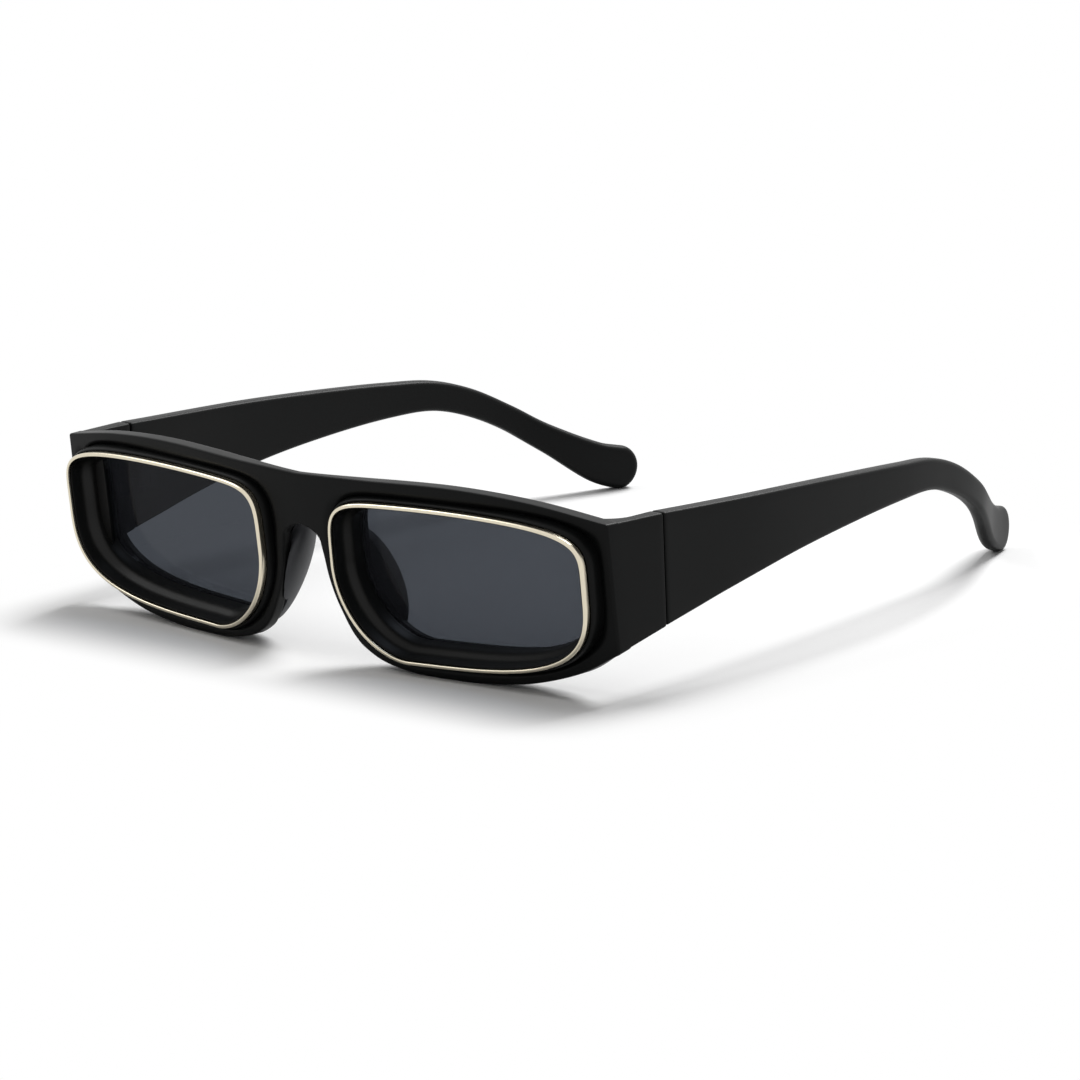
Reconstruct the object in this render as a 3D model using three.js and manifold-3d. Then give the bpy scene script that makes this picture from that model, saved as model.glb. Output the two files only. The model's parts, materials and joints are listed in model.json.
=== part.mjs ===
// Square sunglasses: a moulded front with two deep stepped eye funnels, each trimmed by a metal
// ring, and two hooked temples that fold on screwed five-barrel hinges.
// Millimetres. +X is the wearer's left, the front looks along -Y, +Z is up, and the part stands
// on z = 0 on the bottoms of its rims and the tips of its temples.

import * as THREE from 'three';
import { mergeVertices } from 'three/addons/utils/BufferGeometryUtils.js';
import Module from 'manifold-3d';

const wasm = await Module();
wasm.setup();

const radians = THREE.MathUtils.degToRad;

// General fits
const CLEARANCE = 0.3;
const HINGE_CLEARANCE = 0.15;
const SCREW_CLEARANCE = 0.1;
const OVERRUN = 3;

// Front: overall form
const FRONT_HALF_WIDTH = 72.5;
const CORNER_Y = 7.56;
const FRONT_WRAP = 9.2;
const FRONT_WRAP_POWER = 1.8;
const FRONT_TILT = radians(6.7);
const FRONT_THICKNESS = 3.7;
const BRIDGE_THICKNESS = 2.2;
const BRIDGE_HALF_WIDTH = 24;
const BROW_HEIGHT = 39.5;
const BROW_DROP = 3.8;
const CORNER_Z = BROW_HEIGHT - BROW_DROP;
// Brow line: place along the half width, and height as a share of the drop from crest to corner
const BROW_LINE_SHARES = [[0, 0.69], [0.22, 0.83], [0.52, 1], [0.77, 0.71], [1, 0]];
const BROW_STEPS = 14;
const SLAB_STEPS = 4 * BROW_STEPS;

// Front: bridge arch, and the bands of plate that are left round each eye
const BRIDGE_BAND = 10.8;
const ARCH_HALF_WIDTH = 5;
const ARCH_HEIGHT = 3.4;
const ARCH_STEPS = 5;
const NOSE_BAND = 10.15;
const SIDE_BAND = 3.6;
const RIM_BAND = 3.1;
const BROW_BAND = 5.25;
// Width of the band from the arch under the eye to the outer corner: share of a turn round the
// eye, and width as a share of the rim band
const RIM_BAND_SHARES = [
  [0.5, 1.4], [0.5222, 1.33], [0.5426, 1.25], [0.5623, 1.19], [0.5833, 1.16],
  [0.6023, 1.26], [0.6205, 1.32], [0.6418, 1.29], [0.6813, 1.12], [0.7353, 1.01],
  [0.7581, 1.15], [0.7758, 1.22], [0.7975, 1.23], [0.8309, 1.22], [0.8723, 1.2],
  [0.909, 1.39], [0.9467, 2.16],
];

// Eye outline: the inner edge of the metal ring, four quarter superellipses about a pole
const EYE_TOE = radians(6.22);
const EYE_TILT = radians(6.7);
const EYE_NOSE_SHARE = 0.279;
const EYE_BOTTOM_SHARE = 0.603;
const EYE_CROWN_SHARE = 0.0596;
const EYE_SLANT = 0.033;
const EYE_POWERS = { topTemple: 6.7, topNose: 5.5, bottomNose: 1.85, bottomTemple: 2.8 };
const EYE_STEPS = 40;
const EYE_TURN_SHARE = 0.28;
const EYE_SAMPLES = 720;
const EYE_WIDTH = (FRONT_HALF_WIDTH - NOSE_BAND - SIDE_BAND) / Math.cos(EYE_TOE);
const EYE_HEIGHT = (BROW_HEIGHT - BROW_BAND - RIM_BAND) / Math.cos(EYE_TILT);
const EYE_NOSE_REACH = EYE_NOSE_SHARE * EYE_WIDTH;
const EYE_TEMPLE_REACH = EYE_WIDTH - EYE_NOSE_REACH;
const EYE_BOTTOM_REACH = EYE_BOTTOM_SHARE * EYE_HEIGHT;
const EYE_TOP_REACH = EYE_HEIGHT - EYE_BOTTOM_REACH;
const EYE_POLE_X = NOSE_BAND + EYE_NOSE_REACH * Math.cos(EYE_TOE);
const EYE_POLE_Z = RIM_BAND + EYE_BOTTOM_REACH * Math.cos(EYE_TILT);
const EYE_PROUD = 2.1;
const EYE_POLE_Y = frontFace(EYE_POLE_X, EYE_POLE_Z) - EYE_PROUD;

// Metal trim ring and the groove in the collar that holds it
const RING_WIDTH = 0.8;
const RING_DEPTH = 2.6;
const RING_EDGE = 0.2;
const RING_LIP_WALL = 0.45;
const RING_LIP_SETBACK = 0.6;
const COLLAR_SETBACK = 1.8;
const COLLAR_WIDTH = 0.5;
const COLLAR_ROUND = 0.4;

// Rim tower behind the collar: funnel steps, lens seat and back
const TOWER_WALL = 1.4;
const TOWER_SHOULDER_DEPTH = 6.5;
const TOWER_DEPTH = 11.4;
const TOWER_EDGE = 0.5;
const STEP_DEPTH = 3.4;
const STEP_INSET = 1.2;
const STEP_DRAFT = 0.12;
const STEP_EDGE = 0.3;
const LENS_INSET = 1.85;
const LENS_FRONT_DEPTH = 8;
const LENS_THICKNESS = 2;
const LENS_BITE = 1;
const LENS_BACK_LIP = 0.55;
const LENS_STEP_DEPTH = 7;

// Concave groove where the front face meets the collar
const FACE_GROOVE_RADIUS = 0.9;
const FACE_GROOVE_OFFSET = 1.9;
const FACE_GROOVE_SIDES = 6;
const FACE_GROOVE_EDGE = 0.5;

// Endpieces, which turn back from the corners to the temple seams
const SEAM_Y = 23.6;
const SEAM_DROP = 0.2;
const SEAM_HEIGHT = 22.7;
const SEAM_TOP = CORNER_Z - SEAM_DROP;
const SEAM_BOTTOM = SEAM_TOP - SEAM_HEIGHT;
const SEAM_LEAN = radians(1.7);
const SEAM_CHAMFER = 0.35;
const SIDE_FLARE = 1.1;
const SIDE_UNDERCUT = 3.3;
const ENDPIECE_THICKNESS = 3.4;
const CORNER_FILLET = 6;
const CORNER_FILLET_STEPS = 6;

// Hinges
const BARREL_RADIUS = 1.5;
const BARREL_HEIGHT = 1.6;
const BARREL_COUNT = 5;
const HINGE_RISE = 0.85;
const HINGE_Z = (SEAM_TOP + SEAM_BOTTOM) / 2 + HINGE_RISE;
const LEAF_THICKNESS = 0.8;
const LEAF_LENGTH = 7;
const LEAF_CORNER = 0.8;
const LEAF_RECESS = 0.5;
const LEAF_SCREW_Y = 4.6;
const LEAF_SCREW_SPREAD = 4.4;
const SCREW_SIDES = 12;
const BARREL_SIDES = 16;
const HINGE_SCREW_RADIUS = 0.6;
const HINGE_SCREW_HEAD_RADIUS = 1.15;
const HINGE_SCREW_HEAD_HEIGHT = 0.6;
const LEAF_SCREW_RADIUS = 0.5;
const LEAF_SCREW_HEAD_RADIUS = 0.95;
const LEAF_SCREW_HEAD_HEIGHT = 0.45;
const LEAF_SCREW_LENGTH = 2.4;
const SCREW_SLOT_WIDTH = 0.3;
const SCREW_SLOT_DEPTH = 0.25;

// Temples: centre line in side view, height across it, outer face in plan, and thickness
const TEMPLE_LENGTH = 140.6;
const TIP_RADIUS = 4.2;
const TEMPLE_FRONT_THICKNESS = 3.4;
const TEMPLE_TIP_THICKNESS = 3.5;
const TEMPLE_FRONT_EDGE = 0.5;
const TEMPLE_TIP_EDGE = 1.4;
const TEMPLE_EDGE_STEPS = 2;
const TEMPLE_STEPS = 30;
const TIP_STEPS = 6;
const TIP_INSET = 21;
const TANGENT_SHARE = 0.002;
// Shares of the temple length and, in turn, of the seam height and of the temple height
const TEMPLE_CENTRE_SHARES = [
  [0, 0.682], [0.127, 0.724], [0.283, 0.762], [0.437, 0.775], [0.564, 0.77], [0.649, 0.748],
  [0.72, 0.669], [0.792, 0.535], [0.862, 0.363], [0.93, 0.192], [0.965, 0.1419], [1, 0.115],
];
const TEMPLE_HEIGHT_SHARES = [
  [0, 1], [0.127, 0.797], [0.283, 0.59], [0.437, 0.436], [0.564, 0.335], [0.649, 0.29],
  [0.72, 0.27], [0.792, 0.25], [0.862, 0.28], [0.93, 0.39], [0.965, 0.425], [1, 0.425],
];
// Shares of the temple length and of the tip inset: how far the outer face has moved inwards
const TEMPLE_PLAN_SHARES = [
  [0, 0], [0.24, -0.04], [0.495, 0.05], [0.67, 0.2], [0.812, 0.42], [0.918, 0.78], [1, 1],
];

// Nose pads
const PAD_SETBACK = 8.2;
const PAD_HEIGHT_SHARE = 0.405;
const PAD_CENTRE_X = NOSE_BAND + CLEARANCE / 2;
const PAD_CENTRE_Y = EYE_POLE_Y + PAD_SETBACK;
const PAD_CENTRE_Z = PAD_HEIGHT_SHARE * BROW_HEIGHT;
const PAD_HALF_THICKNESS = 3.4;
const PAD_HALF_LENGTH = 7.3;
const PAD_HALF_HEIGHT = 11.5;
const PAD_SPLAY = radians(32);
const PAD_SLOPE = radians(24);
const PAD_SEGMENTS = [14, 10];

// Materials
function finish(color, roughness, metalness) {
  return new THREE.MeshStandardMaterial({ color, roughness, metalness });
}

const FINISHES = {
  front: () => finish(0x202221, 0.55, 0),
  temple: () => finish(0x222322, 0.55, 0),
  pad: () => finish(0x3a3b3d, 0.5, 0),
  ring: () => finish(0xcdc5b2, 0.25, 1),
  lens: () => finish(0x3d4049, 0.1, 0),
  hinge: () => finish(0x2f2f30, 0.36, 1),
  screw: () => finish(0x4c4c4b, 0.3, 1),
};

// Solids from geometries, and back
function signedVolume(positions, triangles) {
  const [a, b, c] = [new THREE.Vector3(), new THREE.Vector3(), new THREE.Vector3()];
  let total = 0;
  for (let i = 0; i < triangles.length; i += 3) {
    a.fromArray(positions, 3 * triangles[i]);
    b.fromArray(positions, 3 * triangles[i + 1]);
    c.fromArray(positions, 3 * triangles[i + 2]);
    total += a.dot(b.cross(c));
  }
  return total;
}

function toSolid(geometry) {
  const bare = geometry.clone();
  bare.deleteAttribute('normal');
  bare.deleteAttribute('uv');
  const merged = mergeVertices(bare);
  const positions = merged.attributes.position.array;
  const index = merged.index.array;
  const triangles = [];
  for (let i = 0; i < index.length; i += 3) {
    const [a, b, c] = [index[i], index[i + 1], index[i + 2]];
    if (a !== b && b !== c && c !== a) triangles.push(a, b, c);
  }
  if (signedVolume(positions, triangles) < 0) triangles.reverse();
  return new wasm.Manifold(new wasm.Mesh({
    numProp: 3,
    vertProperties: new Float32Array(positions),
    triVerts: new Uint32Array(triangles),
  }));
}

function toGeometry(solid) {
  const mesh = solid.getMesh();
  const geometry = new THREE.BufferGeometry();
  geometry.setAttribute('position', new THREE.BufferAttribute(mesh.vertProperties.slice(), 3));
  geometry.setIndex(new THREE.BufferAttribute(mesh.triVerts.slice(), 1));
  geometry.computeVertexNormals();
  return geometry;
}

function boxSolid(low, high) {
  const size = new THREE.Vector3().subVectors(high, low);
  const centre = new THREE.Vector3().addVectors(low, high).multiplyScalar(0.5);
  const box = new THREE.BoxGeometry(size.x, size.y, size.z);
  return toSolid(box.translate(centre.x, centre.y, centre.z));
}

// A flat outline of (x, z) points, run along Y between two places
function alongY(points, from, to) {
  const geometry = new THREE.ExtrudeGeometry(new THREE.Shape(points), {
    depth: to - from, bevelEnabled: false, steps: 1,
  });
  return toSolid(geometry.rotateX(Math.PI / 2).translate(0, to, 0));
}

// A flat outline of (x, y) points, run up between two heights
function alongZ(points, from, to) {
  const geometry = new THREE.ExtrudeGeometry(new THREE.Shape(points), {
    depth: to - from, bevelEnabled: false, steps: 1,
  });
  return toSolid(geometry.translate(0, 0, from));
}

// A flat outline of (y, z) points, run along X between two places
function alongX(points, from, to) {
  const geometry = new THREE.ExtrudeGeometry(new THREE.Shape(points), {
    depth: to - from, bevelEnabled: false, steps: 1,
  });
  const turn = new THREE.Matrix4().set(0, 0, 1, from, 1, 0, 0, 0, 0, 1, 0, 0, 0, 0, 0, 1);
  return toSolid(geometry.applyMatrix4(turn));
}

function placed(solid, matrix) {
  return toSolid(toGeometry(solid).applyMatrix4(matrix));
}

function mirrored(solid) {
  return placed(solid, new THREE.Matrix4().makeScale(-1, 1, 1));
}

// A smooth height through named places, with no overshoot of its end tangents
function smoothThrough(places) {
  const slope = places.map((place, i) => {
    const before = places[Math.max(i - 1, 0)];
    const after = places[Math.min(i + 1, places.length - 1)];
    return (after[1] - before[1]) / (after[0] - before[0]);
  });
  return (x) => {
    let i = 0;
    while (i < places.length - 2 && x > places[i + 1][0]) i += 1;
    const [[x0, y0], [x1, y1]] = [places[i], places[i + 1]];
    const span = x1 - x0;
    const t = (x - x0) / span;
    const [t2, t3] = [t * t, t * t * t];
    return (2 * t3 - 3 * t2 + 1) * y0 + (t3 - 2 * t2 + t) * span * slope[i]
      + (3 * t2 - 2 * t3) * y1 + (t3 - t2) * span * slope[i + 1];
  };
}

// Front face: wrapped towards the temples and tilted so that its bottom lies further back
function frontFace(x, z) {
  const share = Math.abs(x) / FRONT_HALF_WIDTH;
  const bridgeY = -(FRONT_WRAP - CORNER_Y);
  return bridgeY + FRONT_WRAP * share ** FRONT_WRAP_POWER + (CORNER_Z - z) * Math.tan(FRONT_TILT);
}

const browShare = smoothThrough(BROW_LINE_SHARES);
function browLine(x) {
  return CORNER_Z + BROW_DROP * browShare(Math.abs(x) / FRONT_HALF_WIDTH);
}

// Outline of the front in front view: brow, sides, rims and bridge arch, grown into the arch and
// below the rims by a clearance
function frontOutline(growth = 0) {
  const half = [];
  const side = FRONT_HALF_WIDTH + SIDE_FLARE + OVERRUN;
  for (let i = 0; i <= BROW_STEPS; i += 1) {
    const x = FRONT_HALF_WIDTH * i / BROW_STEPS;
    half.push(new THREE.Vector2(x, browLine(x)));
  }
  half.push(new THREE.Vector2(side, CORNER_Z));
  const rim = RIM_BAND_SHARES.map(([turnShare, bandShare]) => {
    const spot = inEyeFrame(eyeSpot(2 * Math.PI * turnShare), RIM_BAND * bandShare + growth, EYE_PROUD);
    return new THREE.Vector2(spot.x, spot.z);
  }).reverse();
  half.push(new THREE.Vector2(side, rim[0].y), ...rim);
  const archTop = browLine(0) - BRIDGE_BAND;
  for (let i = 0; i <= ARCH_STEPS; i += 1) {
    const angle = Math.PI / 2 * i / ARCH_STEPS;
    half.push(new THREE.Vector2(
      (ARCH_HALF_WIDTH - growth) * Math.cos(angle),
      archTop - growth - ARCH_HEIGHT * (1 - Math.sin(angle)),
    ));
  }
  const other = half.slice(1, -1).reverse().map((p) => new THREE.Vector2(-p.x, p.y));
  return [...half, ...other];
}

// Thickness of the front, less at the bridge than round the eyes
function frontThickness(x) {
  const share = THREE.MathUtils.smoothstep(Math.abs(x), 0, BRIDGE_HALF_WIDTH);
  return THREE.MathUtils.lerp(BRIDGE_THICKNESS, FRONT_THICKNESS, share);
}

// Wrapped slab that starts a little off the front face and ends a little off the back face
function wrappedSlab(beforeFront, behindBack) {
  const width = 2 * (FRONT_HALF_WIDTH + SIDE_FLARE + OVERRUN);
  const slab = new THREE.BoxGeometry(1, 1, 1, SLAB_STEPS, 1, 1);
  const position = slab.attributes.position;
  for (let i = 0; i < position.count; i += 1) {
    const x = position.getX(i) * width;
    const z = (position.getZ(i) + 0.5) * (BROW_HEIGHT + 2 * OVERRUN) - OVERRUN;
    const back = frontThickness(x) + behindBack;
    const depth = position.getY(i) > 0 ? back : -beforeFront;
    position.setXYZ(i, x, frontFace(x, z) + depth, z);
  }
  return toSolid(slab);
}

// Eye outline
function eyePoint(angle) {
  const [c, s] = [Math.cos(angle), Math.sin(angle)];
  const across = c >= 0 ? EYE_TEMPLE_REACH : EYE_NOSE_REACH;
  const up = s >= 0 ? EYE_TOP_REACH : EYE_BOTTOM_REACH;
  const side = c >= 0 ? 'Temple' : 'Nose';
  const power = EYE_POWERS[(s >= 0 ? 'top' : 'bottom') + side];
  const u = across * Math.sign(c) * Math.abs(c) ** (2 / power);
  const v = up * Math.sign(s) * Math.abs(s) ** (2 / power);
  const crown = EYE_CROWN_SHARE * EYE_TEMPLE_REACH * (u / EYE_TEMPLE_REACH) ** 2;
  return new THREE.Vector2(u, v + EYE_SLANT * u - crown);
}

// A point of the eye outline with its outward direction
function eyeSpot(angle) {
  const turn = Math.PI / EYE_SAMPLES;
  const along = new THREE.Vector2().subVectors(eyePoint(angle + turn), eyePoint(angle - turn));
  along.normalize();
  return { point: eyePoint(angle), outward: new THREE.Vector2(along.y, -along.x) };
}

// Spots round the eye outline, closer together where it turns
function eyeOutline() {
  const dense = [];
  for (let i = 0; i < EYE_SAMPLES; i += 1) {
    dense.push(eyeSpot(2 * Math.PI * (i + 0.5) / EYE_SAMPLES));
  }
  const measure = [0];
  dense.forEach((spot, i) => {
    const next = dense[(i + 1) % EYE_SAMPLES];
    const turn = Math.acos(Math.min(1, spot.outward.dot(next.outward)));
    const length = spot.point.distanceTo(next.point);
    measure.push(measure[i] + length + EYE_TURN_SHARE * EYE_TEMPLE_REACH * turn);
  });
  const outline = [];
  let k = 0;
  for (let i = 0; i < EYE_STEPS; i += 1) {
    while (measure[k + 1] < measure[EYE_SAMPLES] * i / EYE_STEPS) k += 1;
    outline.push(dense[k]);
  }
  return outline;
}

const EYE_OUTLINE = eyeOutline();
const EYE_FRAME = new THREE.Matrix4().makeRotationZ(EYE_TOE)
  .multiply(new THREE.Matrix4().makeRotationX(EYE_TILT))
  .setPosition(EYE_POLE_X, EYE_POLE_Y, EYE_POLE_Z);

// A place given by its offset from the eye outline and its depth behind the ring's front
function inEyeFrame({ point, outward }, offset, depth) {
  const place = new THREE.Vector3(
    point.x + offset * outward.x,
    depth,
    point.y + offset * outward.y,
  );
  return place.applyMatrix4(EYE_FRAME);
}

function eyeAxis(depth) {
  const box = new THREE.Box2().setFromPoints(EYE_OUTLINE.map(({ point }) => point));
  const middle = box.getCenter(new THREE.Vector2());
  return new THREE.Vector3(middle.x, depth, middle.y).applyMatrix4(EYE_FRAME);
}

// A profile of (offset, depth) pairs carried round the eye outline. An open profile closes on
// the eye's own axis at its first and last depth.
function roundEye(profile, closed, place = inEyeFrame) {
  const rows = closed ? [...profile, profile[0]] : profile;
  const ends = closed ? rows : [rows[0], ...rows, rows[rows.length - 1]];
  const lathe = new THREE.LatheGeometry(ends.map((row, j) => new THREE.Vector2(1, j)), EYE_STEPS);
  const position = lathe.attributes.position;
  for (let i = 0; i <= EYE_STEPS; i += 1) {
    ends.forEach(([offset, depth], j) => {
      const onAxis = !closed && (j === 0 || j === ends.length - 1);
      const spot = onAxis ? eyeAxis(depth) : place(EYE_OUTLINE[i % EYE_STEPS], offset, depth);
      position.setXYZ(i * ends.length + j, spot.x, spot.y, spot.z);
    });
  }
  return toSolid(lathe);
}

// Collar and rim tower: everything that stands round the eye, before the ring groove and the
// funnel are cut
function eyeTower(growth = 0) {
  const start = RING_WIDTH + CLEARANCE;
  const outer = start + COLLAR_WIDTH;
  return roundEye([
    [0, RING_LIP_SETBACK - growth],
    [0, COLLAR_SETBACK - growth],
    [start + COLLAR_WIDTH / 3, COLLAR_SETBACK - growth],
    [outer - COLLAR_ROUND / 2 + growth, COLLAR_SETBACK + COLLAR_ROUND / 2 - growth],
    [outer + growth, COLLAR_SETBACK + 2 * COLLAR_ROUND],
    [outer + growth, TOWER_SHOULDER_DEPTH],
    [TOWER_WALL + growth, TOWER_SHOULDER_DEPTH + TOWER_EDGE],
    [TOWER_WALL + growth, TOWER_DEPTH - TOWER_EDGE + growth],
    [TOWER_WALL - TOWER_EDGE + growth, TOWER_DEPTH + growth],
  ], false);
}

// Groove that the metal ring is pressed into
function ringGroove() {
  return roundEye([
    [-CLEARANCE, -OVERRUN],
    [RING_WIDTH + CLEARANCE, -OVERRUN],
    [RING_WIDTH + CLEARANCE, RING_DEPTH + CLEARANCE],
    [-CLEARANCE, RING_DEPTH + CLEARANCE],
  ], true);
}

// The funnel in front of the lens, the lens seat and the opening behind it
function eyeFunnel() {
  const lip = -RING_LIP_WALL - CLEARANCE;
  const seat = -LENS_INSET + LENS_BITE + CLEARANCE;
  return roundEye([
    [lip + STEP_EDGE, -OVERRUN],
    [lip + STEP_EDGE, RING_LIP_SETBACK],
    [lip, RING_LIP_SETBACK + STEP_EDGE],
    [lip - STEP_DRAFT, STEP_DEPTH],
    [-STEP_INSET + STEP_EDGE, STEP_DEPTH],
    [-STEP_INSET, STEP_DEPTH + STEP_EDGE],
    [-STEP_INSET - STEP_DRAFT, LENS_STEP_DEPTH],
    [-LENS_INSET, LENS_STEP_DEPTH + STEP_EDGE],
    [-LENS_INSET, LENS_FRONT_DEPTH - CLEARANCE],
    [seat, LENS_FRONT_DEPTH - CLEARANCE],
    [seat, LENS_FRONT_DEPTH + LENS_THICKNESS + CLEARANCE],
    [seat - LENS_BACK_LIP, LENS_FRONT_DEPTH + LENS_THICKNESS + CLEARANCE],
    [seat - LENS_BACK_LIP, TOWER_DEPTH + OVERRUN],
  ], false);
}

// Groove sunk into the front face round the collar, kept off the side edge
function faceGroove() {
  const reach = FRONT_HALF_WIDTH - FACE_GROOVE_RADIUS - FACE_GROOVE_EDGE;
  const profile = [];
  for (let i = 0; i < FACE_GROOVE_SIDES; i += 1) {
    const angle = 2 * Math.PI * i / FACE_GROOVE_SIDES;
    profile.push([FACE_GROOVE_RADIUS * Math.cos(angle), FACE_GROOVE_RADIUS * Math.sin(angle)]);
  }
  return roundEye(profile, true, (around, across, depth) => {
    const spot = inEyeFrame(around, FACE_GROOVE_OFFSET + across, COLLAR_SETBACK);
    const limit = reach + across;
    const x = Math.min(spot.x, limit);
    return new THREE.Vector3(x, frontFace(x, spot.z) + depth, spot.z);
  });
}

// Side face: runs back from the corner and flares a little towards the seam
function sideFaceX(y) {
  return FRONT_HALF_WIDTH + SIDE_FLARE * (y - CORNER_Y) / (SEAM_Y - CORNER_Y);
}

function seamY(z) {
  return SEAM_Y + ((SEAM_TOP + SEAM_BOTTOM) / 2 - z) * Math.tan(SEAM_LEAN);
}

// Endpiece: its plan, with the inner corner fillet, cut to its side view
function endpiece() {
  const frontY = CORNER_Y + FRONT_THICKNESS / 2;
  const browBack = frontFace(FRONT_HALF_WIDTH, CORNER_Z) + FRONT_THICKNESS;
  const plan = [
    new THREE.Vector2(sideFaceX(frontY), frontY),
    new THREE.Vector2(sideFaceX(SEAM_Y + OVERRUN), SEAM_Y + OVERRUN),
    new THREE.Vector2(sideFaceX(SEAM_Y + OVERRUN) - ENDPIECE_THICKNESS, SEAM_Y + OVERRUN),
  ];
  const filletTop = new THREE.Vector2(
    sideFaceX(browBack + CORNER_FILLET) - ENDPIECE_THICKNESS,
    browBack + CORNER_FILLET,
  );
  for (let i = 0; i <= CORNER_FILLET_STEPS; i += 1) {
    const angle = Math.PI / 2 * i / CORNER_FILLET_STEPS;
    plan.push(new THREE.Vector2(
      filletTop.x - CORNER_FILLET * (1 - Math.cos(angle)),
      filletTop.y - CORNER_FILLET * Math.sin(angle),
    ));
  }
  plan.push(new THREE.Vector2(filletTop.x - CORNER_FILLET, frontY));
  const bottomAt = (y) => SEAM_BOTTOM - SIDE_UNDERCUT * (SEAM_Y - y) / (SEAM_Y - CORNER_Y);
  const side = [
    new THREE.Vector2(frontY, bottomAt(frontY)),
    new THREE.Vector2(seamY(SEAM_BOTTOM) - SEAM_CHAMFER, bottomAt(SEAM_Y)),
    new THREE.Vector2(seamY(SEAM_BOTTOM), SEAM_BOTTOM + SEAM_CHAMFER),
    new THREE.Vector2(seamY(SEAM_TOP), SEAM_TOP - SEAM_CHAMFER),
    new THREE.Vector2(seamY(SEAM_TOP) - SEAM_CHAMFER, SEAM_TOP),
    new THREE.Vector2(frontY, CORNER_Z),
  ];
  const block = alongZ(plan, 0, BROW_HEIGHT + OVERRUN);
  return block.intersect(alongX(side, 0, FRONT_HALF_WIDTH + SIDE_FLARE + OVERRUN));
}

// Wedge under the outer lower corner of the front, which leads into the endpiece's underside
function cornerUndercut() {
  const bottom = SEAM_BOTTOM - SIDE_UNDERCUT;
  const wedge = alongY([
    new THREE.Vector2(FRONT_HALF_WIDTH - bottom, 0),
    new THREE.Vector2(FRONT_HALF_WIDTH + OVERRUN, bottom + OVERRUN),
    new THREE.Vector2(FRONT_HALF_WIDTH + OVERRUN, -SEAM_BOTTOM),
    new THREE.Vector2(FRONT_HALF_WIDTH - bottom, -SEAM_BOTTOM),
  ], -CORNER_Y - OVERRUN, SEAM_Y);
  const rise = SIDE_UNDERCUT / (SEAM_Y - CORNER_Y);
  const shear = new THREE.Matrix4().makeShear(0, 0, 0, rise, 0, 0);
  return placed(wedge, shear.setPosition(0, 0, -rise * CORNER_Y));
}

// Everything outside the side face, with a chamfer at the seam
function outsideSideFace() {
  const far = FRONT_HALF_WIDTH + SIDE_FLARE + 2 * OVERRUN;
  const near = -FRONT_WRAP - OVERRUN;
  const points = [
    new THREE.Vector2(sideFaceX(near), near),
    new THREE.Vector2(far, near),
    new THREE.Vector2(far, SEAM_Y + OVERRUN),
    new THREE.Vector2(sideFaceX(SEAM_Y) - SEAM_CHAMFER - OVERRUN, SEAM_Y + OVERRUN),
    new THREE.Vector2(sideFaceX(SEAM_Y) - SEAM_CHAMFER, SEAM_Y),
    new THREE.Vector2(sideFaceX(SEAM_Y - SEAM_CHAMFER), SEAM_Y - SEAM_CHAMFER),
  ];
  return alongZ(points, -OVERRUN, BROW_HEIGHT + OVERRUN);
}

// Hinge places
const INNER_FACE_X = sideFaceX(SEAM_Y) - ENDPIECE_THICKNESS;
const POCKET_FLOOR_X = INNER_FACE_X + LEAF_RECESS;
const LEAF_OUTER_X = POCKET_FLOOR_X - HINGE_CLEARANCE;
const HINGE_X = LEAF_OUTER_X - BARREL_RADIUS;
const BARREL_PITCH = BARREL_HEIGHT + HINGE_CLEARANCE;
const HINGE_HALF_HEIGHT = (BARREL_COUNT * BARREL_PITCH - HINGE_CLEARANCE) / 2;

// Pocket for a hinge leaf: it opens inwards, along -X, and through the seam
function leafPocket(direction) {
  const length = LEAF_LENGTH + CLEARANCE;
  const ends = [SEAM_Y - direction * OVERRUN, SEAM_Y + direction * length];
  const height = HINGE_HALF_HEIGHT + CLEARANCE;
  return boxSolid(
    new THREE.Vector3(INNER_FACE_X - 2 * OVERRUN, Math.min(...ends), HINGE_Z - height),
    new THREE.Vector3(POCKET_FLOOR_X, Math.max(...ends), HINGE_Z + height),
  );
}

function leafScrewHeights() {
  return [HINGE_Z - LEAF_SCREW_SPREAD / 2, HINGE_Z + LEAF_SCREW_SPREAD / 2];
}

// A round bar along +X that starts at x
function barAlongX(x, y, z, radius, length, sides) {
  const bar = new THREE.CylinderGeometry(radius, radius, length, sides);
  return toSolid(bar.rotateZ(Math.PI / 2).translate(x + length / 2, y, z));
}

function pilotHoles(direction) {
  const radius = LEAF_SCREW_RADIUS + HINGE_CLEARANCE;
  const reach = LEAF_SCREW_LENGTH - LEAF_THICKNESS + HINGE_CLEARANCE;
  const holes = leafScrewHeights().map((z) => barAlongX(
    POCKET_FLOOR_X - HINGE_CLEARANCE,
    SEAM_Y + direction * LEAF_SCREW_Y,
    z,
    radius,
    reach + HINGE_CLEARANCE,
    SCREW_SIDES,
  ));
  return holes[0].add(holes[1]);
}

function frontFrame() {
  const plate = wrappedSlab(0, 0).intersect(alongY(
    frontOutline(),
    -FRONT_WRAP - OVERRUN,
    SEAM_Y + OVERRUN,
  ));
  // The half reaches past the middle, so that it overlaps its mirror image
  const leftAboveGround = boxSolid(
    new THREE.Vector3(-OVERRUN, -FRONT_WRAP - 2 * OVERRUN, 0),
    new THREE.Vector3(FRONT_HALF_WIDTH + 2 * OVERRUN, SEAM_Y + OVERRUN, BROW_HEIGHT + OVERRUN),
  );
  const half = plate.intersect(leftAboveGround)
    .subtract(faceGroove())
    .add(eyeTower())
    .subtract(cornerUndercut())
    .add(endpiece())
    .subtract(outsideSideFace())
    .subtract(ringGroove())
    .subtract(eyeFunnel())
    .subtract(leafPocket(-1))
    .subtract(pilotHoles(-1));
  return half.add(mirrored(half));
}

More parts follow.
